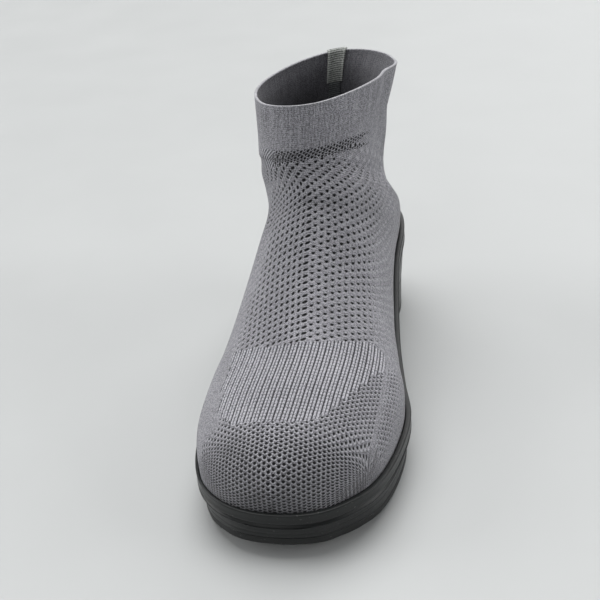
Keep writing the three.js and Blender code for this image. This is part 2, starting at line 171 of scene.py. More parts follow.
def cubic(before, start, end, after, t):
    """A curve through the rows of a table, read between start and end."""
    a = 2 * start
    b = end - before
    c = 2 * before - 5 * start + 4 * end - after
    d = -before + 3 * start - 3 * end + after
    return 0.5 * (a + t * (b + t * (c + t * d)))


def run_along(points):
    """Distance of every point from the first one of its line."""
    steps = np.linalg.norm(np.diff(points, axis=-2), axis=-1)
    return np.concatenate([np.zeros_like(steps[..., :1]), steps.cumsum(axis=-1)], axis=-1)


def along_y(station):
    return SOLE_LENGTH * (0.5 - station)


def station_of(y):
    return 0.5 - y / SOLE_LENGTH


def bed_at(y):
    """Height of the foot bed at each y."""
    station = station_of(np.asarray(y, float))
    rows = BED["station"]
    last = len(rows) - 1
    i = np.minimum(np.searchsorted(rows[1:], station), last - 1)
    t = np.clip((station - rows[i]) / (rows[i + 1] - rows[i]), 0, 1)
    before, after = np.maximum(i - 1, 0), np.minimum(i + 2, last)
    heel, spring = (
        cubic(BED[k][before], BED[k][i], BED[k][i + 1], BED[k][after], t)
        for k in ("heel", "spring")
    )
    return BALL_BED + heel * (HEEL_BED - BALL_BED) + spring * TOE_SPRING


def rim_top_at(y):
    return bed_at(y) + RIM_HEIGHT


def ground_at(y):
    """The underside: flat at heel and ball, a bevel behind, an arch between and the toe spring in front."""
    station = station_of(np.asarray(y, float))
    spring = np.clip((station - SPRING_START) / (1 - SPRING_START), 0, None) ** 2
    bevel = np.clip((BEVEL_END - station) / BEVEL_END, 0, None) ** 2
    through = np.clip((station - ARCH[0]) / (ARCH[1] - ARCH[0]), 0, 1)
    return TOE_SPRING * spring + HEEL_BEVEL * bevel + ARCH_LIFT * np.sin(np.pi * through) ** 2


def foot_sections():
    front_y, under_y = along_y(FOOT["top"]), along_y(FOOT["under"])
    front_z = bed_at(front_y) + FOOT["rise"] * INSTEP_HEIGHT
    back_z = bed_at(under_y) - UNDERFOOT
    back_z[0] = front_z[0]
    none = np.zeros_like(front_y)
    return np.stack([
        front_y, front_z, under_y, back_z, FOOT["middle"] * BALL_WIDTH, FOOT["half"] * BALL_WIDTH,
        FOOT["widest"], FOOT["crown"], FOOT["base"], none, none, none,
    ], axis=1)


def shaft_sections(rows, width, twists):
    twist = np.array(twists, float)
    return np.stack([
        along_y(rows["top"]), HEEL_BED + rows["rise"] * SHAFT_HEIGHT,
        along_y(rows["back"]), HEEL_BED + rows["back_rise"] * SHAFT_HEIGHT,
        rows["middle"] * width, rows["half"] * width, rows["widest"], rows["crown"], rows["base"],
        twist * COLLAR_TWIST["behind"], twist * COLLAR_TWIST["above"], twist * COLLAR_TWIST["fold"],
    ], axis=1)


# Columns of the sections: front y and z, back y and z, middle, half, widest, crown, base,
# behind, above, fold
SECTIONS = np.concatenate([
    foot_sections(),
    shaft_sections(HEEL, HEEL_WIDTH, [0, 0, 0, 0]),
    shaft_sections(ANKLE, ANKLE_WIDTH, [0.6]),
    shaft_sections(CUFF, COLLAR_WIDTH, [0.9, 1]),
])

# The tip is where the loft closes, so the row before it is the first row turned over
MIRRORED = SECTIONS[1][[2, 3, 0, 1, 4, 5, 6, 7, 8, 9, 10, 11]] * np.where(np.arange(12) == 5, -1, 1)
ROWS = np.vstack([MIRRORED, SECTIONS, SECTIONS[-1], SECTIONS[-1]])


def section_at(place):
    place = np.clip(np.asarray(place, float), 0, COLLAR_PLACE)
    i = np.minimum(np.floor(place).astype(int), COLLAR_PLACE - 1)
    t = (place - i)[..., None]
    return cubic(ROWS[i], ROWS[i + 1], ROWS[i + 2], ROWS[i + 3], t)


def surface(place, turn):
    """Points of the upper; turn is 0 on top, 1 at the lowest point and negative on the outer side."""
    place, turn = np.broadcast_arrays(np.asarray(place, float), np.asarray(turn, float))
    past = np.abs(turn) > 1
    turn = np.where(past, turn - 2 * np.sign(turn), turn)
    side = np.where(turn < 0, -1.0, 1.0)
    s = np.moveaxis(section_at(place), -1, 0)
    front_y, front_z, back_y, back_z, middle, half, widest, crown, base, behind, above, fold = s
    angle = np.abs(turn) * np.pi
    over = angle <= np.pi / 2
    power = 2 / (np.where(over, crown, base) - np.where(side > 0, fold, 0))
    across = np.abs(np.sin(angle)) ** power
    away = np.abs(np.cos(angle)) ** power
    down = np.where(over, widest * (1 - away), widest + (1 - widest) * away)
    x = middle + side * half * across
    y = front_y + (back_y - front_y) * down + side * across * behind * half
    z = front_z + (back_z - front_z) * down + side * across * above * half
    return np.stack([x, y, z], axis=-1)


NEARBY = 0.02
HALVINGS = 40


def outward(place, turn):
    """Unit directions away from the surface, from points close by."""
    place, turn = np.broadcast_arrays(np.asarray(place, float), np.asarray(turn, float))
    before, after = np.maximum(place - NEARBY, 0.03), np.minimum(place + NEARBY, COLLAR_PLACE)
    along = surface(after, turn) - surface(before, turn)
    around = surface(place, turn + NEARBY) - surface(place, turn - NEARBY)
    normal = np.cross(around, along)
    return normal / np.maximum(np.linalg.norm(normal, axis=-1, keepdims=True), 1e-9)


def shell(place, turn, offset):
    return surface(place, turn) + outward(place, turn) * np.asarray(offset, float)[..., None]


def crossing_turn(places, height, side):
    """How far round each section stays above a height that follows the bed: 1 where all of it does."""
    def above(turn):
        p = surface(places, side * turn)
        return p[..., 2] > bed_at(p[..., 1]) + height

    low, high = np.full(len(places), 0.3), np.ones(len(places))
    whole = above(high)
    for _ in range(HALVINGS):
        middle = (low + high) / 2
        up = above(middle)
        low, high = np.where(up, middle, low), np.where(up, high, middle)
    return np.where(whole, 1.0, low)


# How finely the knit is meshed: the spacing of its rows along the boot, and the columns of one side
ROW_SPACING = 0.66
SIDE_COLUMNS = 104
FIRST_PLACE = 0.06
BACK_SHARE = 0.3
FINE_PLACES = 3000
CROWDING = 0.38
CROWDING_POWER = 2.2


def row_places():
    """Places of the knit's rows, evenly spaced down the front and not too wide apart at the back."""
    fine = np.linspace(FIRST_PLACE, COLLAR_PLACE, FINE_PLACES)
    steps = [np.linalg.norm(np.diff(surface(fine, turn), axis=0), axis=1) for turn in (0.0, 0.5, 1.0)]
    steps[2][fine[1:] < FIRST_HEEL] = 0
    pace = np.maximum(steps[0], BACK_SHARE * np.maximum(steps[1], steps[2]))
    run = np.concatenate([[0], np.cumsum(pace)])
    count = int(run[-1] / ROW_SPACING)
    return np.interp(np.linspace(0, run[-1], count + 1), run, fine)


def even_girth(places, cut):
    """Turns that lie closer over the top than underneath, and their girth from the front line in mm."""
    share = np.linspace(0, 1, SIDE_COLUMNS + 1)
    share = (1 - CROWDING) * share + CROWDING * share ** CROWDING_POWER
    turns, girths = [], []
    for side in (-1, 1):
        ends = crossing_turn(places, cut, side)
        fine = np.linspace(0, 1, 241)[None] * ends[:, None] * side
        length = run_along(surface(places[:, None], fine))
        girth = share[None] * length[:, -1:]
        turn = np.stack([np.interp(girth[i], length[i], fine[i]) for i in range(len(places))])
        turns.append(turn)
        girths.append(girth * side)
    flipped = [turns[0][:, :0:-1], girths[0][:, :0:-1]]
    return np.hstack([flipped[0], turns[1]]), np.hstack([flipped[1], girths[1]])


def dorsal_run(places):
    """Distance of each row from the tip of the toe, along the front of the boot."""
    fine = np.linspace(FIRST_PLACE, COLLAR_PLACE, FINE_PLACES)
    return np.interp(places, fine, run_along(surface(fine, 0.0)))


# The knit's zones, in mm: u is the girth from the front line, v the run up it from the toe.
# A soft change is given as its amount, its start and its end, and a soft border as its two ends
RIB_TOP = table("u v", (-37, 86), (-14, 81.5), (9, 84.5), (21, 87.5), (34, 93), (41, 90))
RIB_LOW = table(
    "u v",
    (-37, 84), (-34, 67), (-31.5, 50), (-26, 42.5), (-19.5, 36.5), (8, 36.5), (15.5, 38.5), (20, 43),
    (26.5, 53.5), (33, 66), (36, 73), (41, 80),
)
RIB_SIDES = (-37, 41)
RIB_PITCH = 3.3
RIB_ROW = 1.8
RIB_LEAN = 0.065
RIB_UPRIGHT = 82
RIB_DEPTH = 0.42
MESH_CENTRE = table("v u", (80, 0.5), (110, -1), (150, -2.3), (170, -5.5), (180, -8.5))
MESH_START = (78.5, 80.5)
MESH_ROW = 3.7
MESH_COLUMN = {"inner": 3.35, "outer": 2.85}
MESH_WIDER = (0.03, 90, 140)
MESH_NARROWER = (0.1, 140, 172)
MESH_HIGH = (150, 172)
MESH_SLANT = {"inner": 0.45, "outer": 0.28, "outer high": 0.22}
MESH_END = {"inner": 43, "inner high": 30, "outer": -36, "outer high": -40}
MESH_END_LOW = (5, 135, 112)
MESH_FADE = {"inner": (0, 15), "outer": (0, 12)}
MESH_SIDES = (8, 34)
MESH_HOLES = {"front": 1.05, "side": 0.08, "side high": 0.14}
MESH_KEPT = (1.75, 1.35)
CUFF_LINE = {"front": 191.7, "fall": 3.0, "half": 50, "furthest": 1.3}
CUFF_RISE = (-10, 3)
BAND_LOW = table("u v", (-50, 180.5), (-18, 182.5), (-8, 183.8), (3, 186), (17, 187.4), (60, 187.8))
BAND_END = (95, 70)
BAND_HOLES = {"outer": (-24, -19), "inner": (52, 40)}
BAND_KEPT = (3.2, 2.4)
BAND_COLUMN = 1.75
BAND_ROW = 2.2
STRIPE_SLOPE = (0.6, 0.8)
STRIPE_PITCH = 1.6
TOE_AXIS = (-108.0, 28.0)
TOE_ASIDE = 3
TOE_HALF = 47.5
TOE_COLUMN = 2.12
TOE_ROW = 2.4
TOE_RADIUS = 27.0
TOE_BLEND = (24, 40)
TOE_PINCH = {"share": 0.07, "across": 45}
TOE_SHIFT = {"rows": 0.35, "from": 36, "over": 16}
TOE_END = {"outer": 52, "outer low": (14, 30, 42), "inner": 60, "soft": 14}
TOE_BORDER = {"front": (40, 34), "side": (88, 80), "top": (92, 86), "inset": 6}
TOE_HOLES = {"back": 0.72, "tip": (0.28, 38, 22), "sides": (0.2, 24, 46)}
STITCH = 1.05
WALE = 1.15
MOST_STRETCH = 2.5


def past(distance, soft=0.4):
    """0 before a border and 1 past it."""
    return smooth(-soft, soft, distance)


def change(amount, start, end, x):
    return amount * smooth(start, end, x)


def cuff_border(u):
    """The lower border of the cuff, a little lower at the sides than in front."""
    aside = np.clip(np.abs(u) / CUFF_LINE["half"], 0, CUFF_LINE["furthest"])
    return CUFF_LINE["front"] - CUFF_LINE["fall"] * aside ** 2


def toe_coordinates(u, v, points):
    """Girth and run over the toe cap, where the sections are rings round its tip."""
    angle = np.arctan2(points[..., 2] - TOE_AXIS[1], TOE_AXIS[0] - points[..., 1])
    middle = points[:, points.shape[1] // 2]
    front = np.arctan2(middle[:, 2] - TOE_AXIS[1], TOE_AXIS[0] - middle[:, 1])
    order = np.argsort(front)
    over = np.interp(angle, front[order], v[order, 0])
    over = over + TOE_RADIUS * np.minimum(angle - front.min(), 0)
    across = TOE_HALF * np.arcsin(np.clip((points[..., 0] + TOE_ASIDE) / TOE_HALF, -1, 1))
    back = smooth(*TOE_BLEND, v)
    return across * (1 - back) + u * back, over * (1 - back) + v * back


def rib_zone(z, low, top):
    u, v = z["u"], z["v"]
    inside = past(u - RIB_SIDES[0], 0.5) * past(RIB_SIDES[1] - u, 0.5)
    z["rib"] = past(v - low) * past(top - v) * inside
    z["rib_y"] = v / RIB_ROW


def mesh_zone(z, top, band_low, stretch):
    """The instep's mesh: its slanted columns, and holes that grow smaller to the sides and close there."""
    u, v = z["u"], z["v"]
    centre = np.interp(v, MESH_CENTRE["v"], MESH_CENTRE["u"])
    spread = 1 + change(*MESH_WIDER, v) - change(*MESH_NARROWER, v)
    pitch = np.where(u > centre, MESH_COLUMN["inner"], MESH_COLUMN["outer"]) * spread
    z["mesh_x"], z["mesh_y"] = (u - centre) / pitch, v / MESH_ROW
    high = smooth(*MESH_HIGH, v)
    outer_slant = MESH_SLANT["outer"] + MESH_SLANT["outer high"] * high
    z["skew"] = np.where(u > centre, MESH_SLANT["inner"], outer_slant)
    z["mesh"] = past(v - top, 0.5) * smooth(*MESH_START, v) * past(band_low - v)
    inner_end = MESH_END["inner"] + MESH_END["inner high"] * high
    outer_end = MESH_END["outer"] + MESH_END["outer high"] * high - change(*MESH_END_LOW, v)
    fade = smooth(*MESH_FADE["inner"], inner_end - u) * smooth(*MESH_FADE["outer"], u - outer_end)
    sides = smooth(*MESH_SIDES, np.abs(u - centre))
    size = MESH_HOLES["front"] - (MESH_HOLES["side"] + MESH_HOLES["side high"] * high) * sides
    z["mesh_size"] = fade * size * smooth(*MESH_KEPT, stretch)


def band_zone(z, band_low, stretch):
    """The cuff, and the band under it with small diamonds in front and slanted stripes at its sides."""
    u, v = z["u"], z["v"]
    border = cuff_border(u)
    z["cuff"] = past(v - border, 0.3)
    z["cuff_rise"] = smooth(*CUFF_RISE, v - border)
    band = past(v - band_low, 0.3) * (1 - z["cuff"]) * smooth(*BAND_END, np.abs(u))
    holes = smooth(*BAND_HOLES["outer"], u) * smooth(*BAND_HOLES["inner"], u)
    kept = smooth(*BAND_KEPT, stretch)
    z["band_holes"], z["band_lines"] = band * holes * kept, band * (1 - holes) * kept
    z["band_x"] = u / BAND_COLUMN
    z["band_y"] = (v - border) * np.minimum(stretch, MOST_STRETCH) / BAND_ROW
    z["slant"] = (np.abs(u) * STRIPE_SLOPE[0] + v * STRIPE_SLOPE[1]) / STRIPE_PITCH


def toe_zone(z, low, points):
    """The toe's mesh, ahead of the ribs and along their inner side."""
    u, v = z["u"], z["v"]
    tu, tv = toe_coordinates(u, v, points)
    pinch = TOE_PINCH["share"] * np.clip(np.abs(tu) / TOE_PINCH["across"], 0, 1)
    z["toe_x"] = tu / (TOE_COLUMN * (1 - pinch))
    grow = np.clip((TOE_SHIFT["from"] - tv) / TOE_SHIFT["over"], 0, 1)
    z["toe_y"] = tv / TOE_ROW + TOE_SHIFT["rows"] * grow * (1 - grow) * 4
    left = smooth(0, TOE_END["soft"], u + TOE_END["outer"] - change(*TOE_END["outer low"], v))
    right = smooth(0, TOE_END["soft"], TOE_END["inner"] - u)
    inset = TOE_BORDER["inset"]
    ahead = past(low - v) * (u > RIB_SIDES[0] + inset) * (u < RIB_SIDES[1])
    ahead = np.maximum(ahead, smooth(*TOE_BORDER["front"], v))
    beside = smooth(0, inset, u - RIB_SIDES[1] + 1) * smooth(*TOE_BORDER["side"], v)
    z["toe"] = np.maximum(ahead, beside) * (1 - z["rib"]) * smooth(*TOE_BORDER["top"], v)
    size = TOE_HOLES["back"] + change(*TOE_HOLES["tip"], tv)
    z["toe_size"] = size * left * right * (1 - change(*TOE_HOLES["sides"], np.abs(tu)))


def knit_zones(u, v, points):
    """The weight of each zone of the knit and the cell coordinates of its pattern, at every point."""
    v = np.broadcast_to(v, u.shape)
    z = {"u": u, "v": v, "rib_x": (u + RIB_LEAN * (RIB_UPRIGHT - v)) / RIB_PITCH}
    # The rows fan out round the ankle, so they lie further apart there than on the front line
    stretch = np.linalg.norm(np.gradient(points, axis=0), axis=-1) / np.gradient(v, axis=0)
    low = np.interp(np.round(z["rib_x"]) * RIB_PITCH, RIB_LOW["u"], RIB_LOW["v"])
    top = np.interp(u, RIB_TOP["u"], RIB_TOP["v"])
    band_low = np.interp(u, BAND_LOW["u"], BAND_LOW["v"])
    rib_zone(z, low, top)
    mesh_zone(z, top, band_low, stretch)
    band_zone(z, band_low, stretch)
    toe_zone(z, low, points)
    return z


# Outlines of the upper at any height above the bed: half their points, the places where they are looked
# for at the toe and along the side, and how often they and their directions are smoothed
HALF_POINTS = 190
TOE_PLACES = (0.1, 1.2, 300)
SIDE_PLACES = (1.21, ANKLE_PLACE, 900)
LOOP_SMOOTHING = 6
DIRECTION_SMOOTHING = 3


def half_outline(side, height):
    """The line round one side of the upper at a height above the bed, from the toe to the heel."""
    places = np.concatenate([np.linspace(*TOE_PLACES), np.linspace(*SIDE_PLACES)])
    turns = crossing_turn(places, height, side)
    open_rows = np.flatnonzero(turns < 1)
    chosen = np.arange(open_rows[0], open_rows[-1] + 1)
    points = surface(places[chosen], side * turns[chosen])[:, :2]
    ends = [surface(places[max(chosen[0] - 1, 0)], 1.0), surface(places[chosen[-1] + 1], 1.0)]
    points = np.vstack([ends[0][None, :2], points, ends[1][None, :2]])
    run = run_along(points)
    even = np.linspace(0, run[-1], HALF_POINTS + 1)
    return np.stack([np.interp(even, run, points[:, k]) for k in (0, 1)], axis=1)


def smoothed(loop, times):
    for _ in range(times):
        loop = 0.5 * loop + 0.25 * (np.roll(loop, 1, axis=0) + np.roll(loop, -1, axis=0))
    return loop


def outline_at(height):
    """The closed outline, toe first, round the inner side to the heel and back on the outer side."""
    inner, outer = half_outline(1, height), half_outline(-1, height)
    middle_toe, middle_heel = (inner[0] + outer[0]) / 2, (inner[-1] + outer[-1]) / 2
    loop = np.vstack([middle_toe, inner[1:-1], middle_heel, outer[-2:0:-1]])
    return smoothed(loop, LOOP_SMOOTHING)


def directions(loop):
    tangent = np.roll(loop, -1, axis=0) - np.roll(loop, 1, axis=0)
    out = np.stack([tangent[:, 1], -tangent[:, 0]], axis=1)
    return smoothed(out / np.linalg.norm(out, axis=1, keepdims=True), DIRECTION_SMOOTHING)


def ring(loop, out, height):
    """The outline moved outwards by out, at the height that height gives for each y."""
    moved = loop + directions(loop) * np.broadcast_to(out, len(loop))[:, None]
    return np.column_stack([moved, height(moved[:, 1])])


def flare_at(y):
    station = np.clip(station_of(y), 0, 1)
    rows = FLARE["station"]
    i = np.clip(np.searchsorted(rows, station), 1, len(rows) - 1)
    t = smooth(0, 1, (station - rows[i - 1]) / (rows[i] - rows[i - 1]))
    return (FLARE["out"][i - 1] * (1 - t) + FLARE["out"][i] * t) * RIM_THICKNESS


def ladder(loop, height, columns):
    """Rows of points across a ring, which close it with a surface of that height."""
    rows = []
    for i in range(1, len(loop) // 2):
        a, b = loop[i, :2], loop[-i, :2]
        share = np.linspace(0, 1, columns + 1)[:, None]
        row = a + (b - a) * share
        rows.append(np.column_stack([row, height(row[:, 1])]))
    return rows


RIM_OUT = CLEARANCE + RIM_THICKNESS


def raised(line, rise):
    """A line of heights along y, moved up."""
    return lambda y: line(y) + rise


def flared(share, inward=0.0):
    """How far out the sole's side stands, between the rim's face and the sole's foot."""
    return lambda y: RIM_OUT + share * flare_at(y) - inward


band_foot = raised(rim_top_at, -RIM_BAND)
groove_foot = raised(band_foot, -GROOVE_WIDTH)
outsole_top = raised(ground_at, OUTSOLE_THICKNESS)
midsole_foot = raised(outsole_top, CLEARANCE)


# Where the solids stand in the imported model's frame: their midsole's box against the same body here
MM = 0.001


def midsole_shift():
    loop = outline_at(RIM_HEIGHT)
    rim = ring(loop, RIM_OUT, rim_top_at)
    low, high = (np.array(corner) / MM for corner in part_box("midsole"))
    middle = (low + high) / 2 - (rim.min(axis=0) + rim.max(axis=0)) / 2
    return np.array([middle[0] - RIM_ASIDE, middle[1], 0.0])


SHIFT = midsole_shift()


def mesh_object(name, points, faces, values=None):
    """A mesh from points in mm of the solids' own frame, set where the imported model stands."""
    points = np.asarray(points, float)
    keep, first, where = np.unique(np.round(points, 3), axis=0, return_index=True, return_inverse=True)
    where = where.reshape(-1)
    clean = []
    for face in faces:
        corners = list(dict.fromkeys(where[list(face)].tolist()))
        if len(corners) > 2:
            clean.append(corners)
    mesh = bpy.data.meshes.new(name)
    mesh.from_pydata(((keep + SHIFT) * MM).tolist(), [], clean)
    mesh.shade_smooth()
    for key, value in (values or {}).items():
        value = np.asarray(value, np.float32)[first]
        kind = "FLOAT" if value.ndim == 1 else "FLOAT_VECTOR"
        layer = mesh.attributes.new(key, kind, "POINT")
        layer.data.foreach_set("value" if value.ndim == 1 else "vector", value.ravel())
    piece = bpy.data.objects.new(name, mesh)
    bpy.context.collection.objects.link(piece)
    return piece


def grid_faces(rows, columns, start=0, flip=False, closed=False):
    """Quads between rows of points that lie one after another."""
    faces = []
    for r in range(rows - 1):
        for c in range(columns if closed else columns - 1):
            a, b = start + r * columns + c, start + r * columns + (c + 1) % columns
            quad = (a, b, b + columns, a + columns)
            faces.append(quad[::-1] if flip else quad)
    return faces


def body_of_rings(rings, first_height, last_height, columns=16):
    """A closed body of rings that all have the same count, closed across at its first and last ring."""
    count = len(rings[0])
    half = count // 2
    points = list(np.vstack(rings))
    faces = grid_faces(len(rings), count, closed=True)
    for at, height, flip in ((0, first_height, True), (len(rings) - 1, last_height, False)):
        base = at * count
        index = [[base] * (columns + 1)]
        for i, row in enumerate(ladder(rings[at], height, columns), start=1):
            start = len(points)
            points.extend(row[1:-1])
            index.append([base + i, *range(start, start + columns - 1), base + count - i])
        index.append([base + half] * (columns + 1))
        for lower, upper in zip(index, index[1:]):
            for c in range(columns):
                quad = (lower[c], upper[c], upper[c + 1], lower[c + 1])
                faces.append(quad[::-1] if flip else quad)
    return np.array(points), faces


def ramp(loop, steps, aside=0.0):
    """Rings through steps of a distance outside the upper and a line of heights, all set aside."""
    outs = [out(loop[:, 1]) if callable(out) else out for out, _ in steps]
    return [ring(loop, out, step[1]) + [aside, 0, 0] for out, step in zip(outs, steps)]


# The collar's edge is a soft roll, and the wall grows thin towards it
ROLL = 0.2
EDGE_WALL = 1.4
EDGE_TAPER = 12.0
ROLL_STEPS = 9
INNER_EVERY = 4
SEAM_FAR = 50.0
WHOLE = 0.9999
CLOTH_STEP = 2.5
BEND_START = (186, 198)
RIM_SHARE = (0.35, 0.95)

# Slow unevenness of the knit: radians per mm along x, y and z, where they start, and its height
WAVE_PACE = (0.11, 0.09, 0.13)
WAVE_START = (1.3, 0, 0.7)
WAVE_HEIGHT = 0.25

# Soft troughs and ridges in the knit: their middle, which way they run, how long, wide and deep
CREASES = table(
    "u v turn length width depth",
    (-31, 150, 85, 22, 3.0, -0.8),
    (-38, 146, 82, 30, 5.0, 0.9),
    (56, 176, 62, 24, 3.5, -0.8),
    (64, 170, 62, 28, 5.5, 0.9),
    (0, 160, 0, 26, 4.0, -0.45),
    (-4, 168, 4, 24, 4.5, 0.35),
    (6, 149, -6, 30, 5.0, 0.35),
    (-6, 58, 84, 20, 5.0, 0.5),
    (12, 62, 88, 18, 5.0, -0.3),
    (-45, 104, 60, 26, 6.0, -0.5),
    (50, 108, 120, 26, 6.0, -0.5),
    (50, 214, 90, 22, 6.0, -1.5),
    (63, 212, 90, 24, 6.5, 1.1),
    (-30, 214, 90, 18, 9.0, 0.7),
)


def knit_relief(z, points):
    """How far the knit stands out from the plain form: ribs, the cuff's step, creases and unevenness."""
    groove = np.abs(z["rib_x"] - np.round(z["rib_x"]))
    relief = CUFF_STEP * z["cuff_rise"] - RIB_DEPTH * z["rib"] * smooth(0.28, 0.5, groove)
    u, v = z["u"], z["v"]
    for row in zip(*CREASES.values()):
        at_u, at_v, turn, length, width, depth = row
        angle = np.radians(turn)
        along = (u - at_u) * np.cos(angle) + (v - at_v) * np.sin(angle)
        across = (v - at_v) * np.cos(angle) - (u - at_u) * np.sin(angle)
        relief = relief + depth * np.exp(-(along / length) ** 2 - (across / width) ** 2)
    waves = np.sin(points * WAVE_PACE + WAVE_START)
    return relief + WAVE_HEIGHT * waves.prod(axis=-1)


def wall_at(drop):
    """The thickness of the wall under the plain form, at a distance below the collar's edge."""
    return WALL - (WALL + CUFF_STEP - EDGE_WALL) * smooth(EDGE_TAPER, 0, drop)


def from_seam(turns, girth):
    """Distance from the back seam, for the sections that reach round to it."""
    ends = np.where(np.abs(turns[:, [0, -1]]) > WHOLE, np.abs(girth[:, [0, -1]]), np.inf)
    near = np.where(girth < 0, ends[:, :1] + girth, ends[:, 1:] - girth)
    return np.minimum(near, SEAM_FAR)


def upper_faces(turns, chosen, tips):
    """Faces of the skin with the roll, of the inner wall, of the strips that join them and of both tips."""
    rows, columns = turns.shape
    few = len(chosen)
    skin_rows = rows - 1 + ROLL_STEPS
    start = skin_rows * columns
    faces = grid_faces(skin_rows, columns) + grid_faces(rows - 1, few, start, flip=True)
    over, under = start - columns, start + (rows - 2) * few
    for k in range(few - 1):
        edge = range(over + chosen[k], over + chosen[k + 1] + 1)
        faces.append([*edge, under + k + 1, under + k])
    for r in range(rows - 2):
        a, c = r * columns, start + r * few
        b, d = a + columns, c + few
        # Only along the opening underneath: behind it the sections meet at the seam
        if min(abs(turns[r, 0]), abs(turns[r + 1, 0])) < 1:
            faces.append((a, b, d, c))
            faces.append((b + columns - 1, a + columns - 1, c + few - 1, d + few - 1))
    tip, inner_tip = tips
    faces += [(tip, c + 1, c) for c in range(columns - 1)]
    return faces + [(inner_tip, start + c, start + c + 1) for c in range(few - 1)]


def make_upper():
    places = row_places()
    turns, girth = even_girth(places, CLEARANCE)
    run = dorsal_run(places)[:, None]
    plain = surface(places[:, None], turns)
    normals = outward(places[:, None], turns)
    zones = knit_zones(girth, run, plain)
    zones["seam"] = from_seam(turns, girth)
    steps = np.minimum(np.linalg.norm(np.diff(plain, axis=0), axis=-1), CLOTH_STEP)
    zones["cloth"] = np.vstack([-steps[::-1].cumsum(axis=0)[::-1], np.zeros(turns.shape[1])])
    relief = knit_relief(zones, plain)
    outer = plain + normals * relief[..., None]
    # Near the collar the wall moves as a whole with the creases
    bend = ((relief - CUFF_STEP * zones["cuff_rise"]) * smooth(*BEND_START, run))[..., None]
    rows, columns = turns.shape
    chosen = np.arange(0, columns, INNER_EVERY)

    # The roll goes from the outer face over the edge to the inner one
    half = EDGE_WALL / 2
    middle = plain[-1] + normals[-1] * (bend[-1] + CUFF_STEP - half)
    angles = np.linspace(0, np.pi, ROLL_STEPS + 2)[1:-1]
    roll = [
        middle + normals[-1] * (half * np.cos(a) + ROLL * np.sin(2 * a)) + [0, 0, half * (np.sin(a) - 1)]
        for a in angles
    ]
    thickness = wall_at(run[-1] - run[:-1])[..., None]
    inner = plain[:-1, chosen] + normals[:-1, chosen] * (bend[:-1, chosen] - thickness)
    inner[-1, :, 2] -= half / 2
    tip = plain[0].mean(axis=0)
    inner_tip = tip - normals[0].mean(axis=0) * WALL
    skin = np.concatenate([outer[:-1], roll]).reshape(-1, 3)
    points = np.vstack([skin, inner.reshape(-1, 3), tip, inner_tip])
    faces = upper_faces(turns, chosen, (len(points) - 2, len(points) - 1))

    def spread(values, inside=None):
        """A zone's values at every point of the mesh, from those of the grid."""
        values = np.broadcast_to(values, turns.shape)
        within = values[:-1, chosen] if inside is None else np.full((rows - 1, len(chosen)), inside)
        parts = [values[:-1], np.repeat(values[-1:], ROLL_STEPS, axis=0)]
        ends = [values[0, columns // 2]] * 2
        return np.concatenate([np.concatenate(parts).ravel(), within.ravel(), ends])

    z = {name: spread(value) for name, value in zones.items()}
    off = {name: spread(zones[name], 0.0) for name in ("rib", "mesh", "toe", "band_holes", "band_lines")}
    # The top of the collar's roll, where the knit's colour is lightened: pale edge yarn and a painted
    # highlight
    top = np.repeat(smooth(*RIM_SHARE, np.sin(angles)), columns)
    within = inner.shape[0] * inner.shape[1]
    rim = np.concatenate([np.zeros(len(skin) - len(top)), top, np.zeros(within + 2)])
    inside = np.concatenate([np.zeros(len(skin)), np.ones(within), [0, 1]])
    layers = {
        "fabric": (np.abs(z["u"]), z["cloth"], inside),
        "ribs": (z["rib_x"], z["rib_y"], off["rib"]),
        "mesh_cells": (z["mesh_x"], z["mesh_y"], off["mesh"] * z["mesh_size"]),
        "toe_cells": (z["toe_x"], z["toe_y"], off["toe"] * z["toe_size"]),
        "band_cells": (z["band_x"], z["band_y"], off["band_holes"]),
        "band_lines": (z["slant"], off["band_lines"], z["cuff"]),
        "edges": (rim, off["mesh"], z["seam"]),
    }
    values = {name: np.stack(parts, axis=1) for name, parts in layers.items()}
    return mesh_object("knit_upper", points, faces, {**values, "skew": z["skew"]})


# The midsole's cavity: heights of its rings above the bed, and the lip round its mouth
CAVITY_RINGS = (0.05, 2, 4, 6, RIM_HEIGHT - 0.5)
LIP = 0.4
CURVE_STEPS = 7


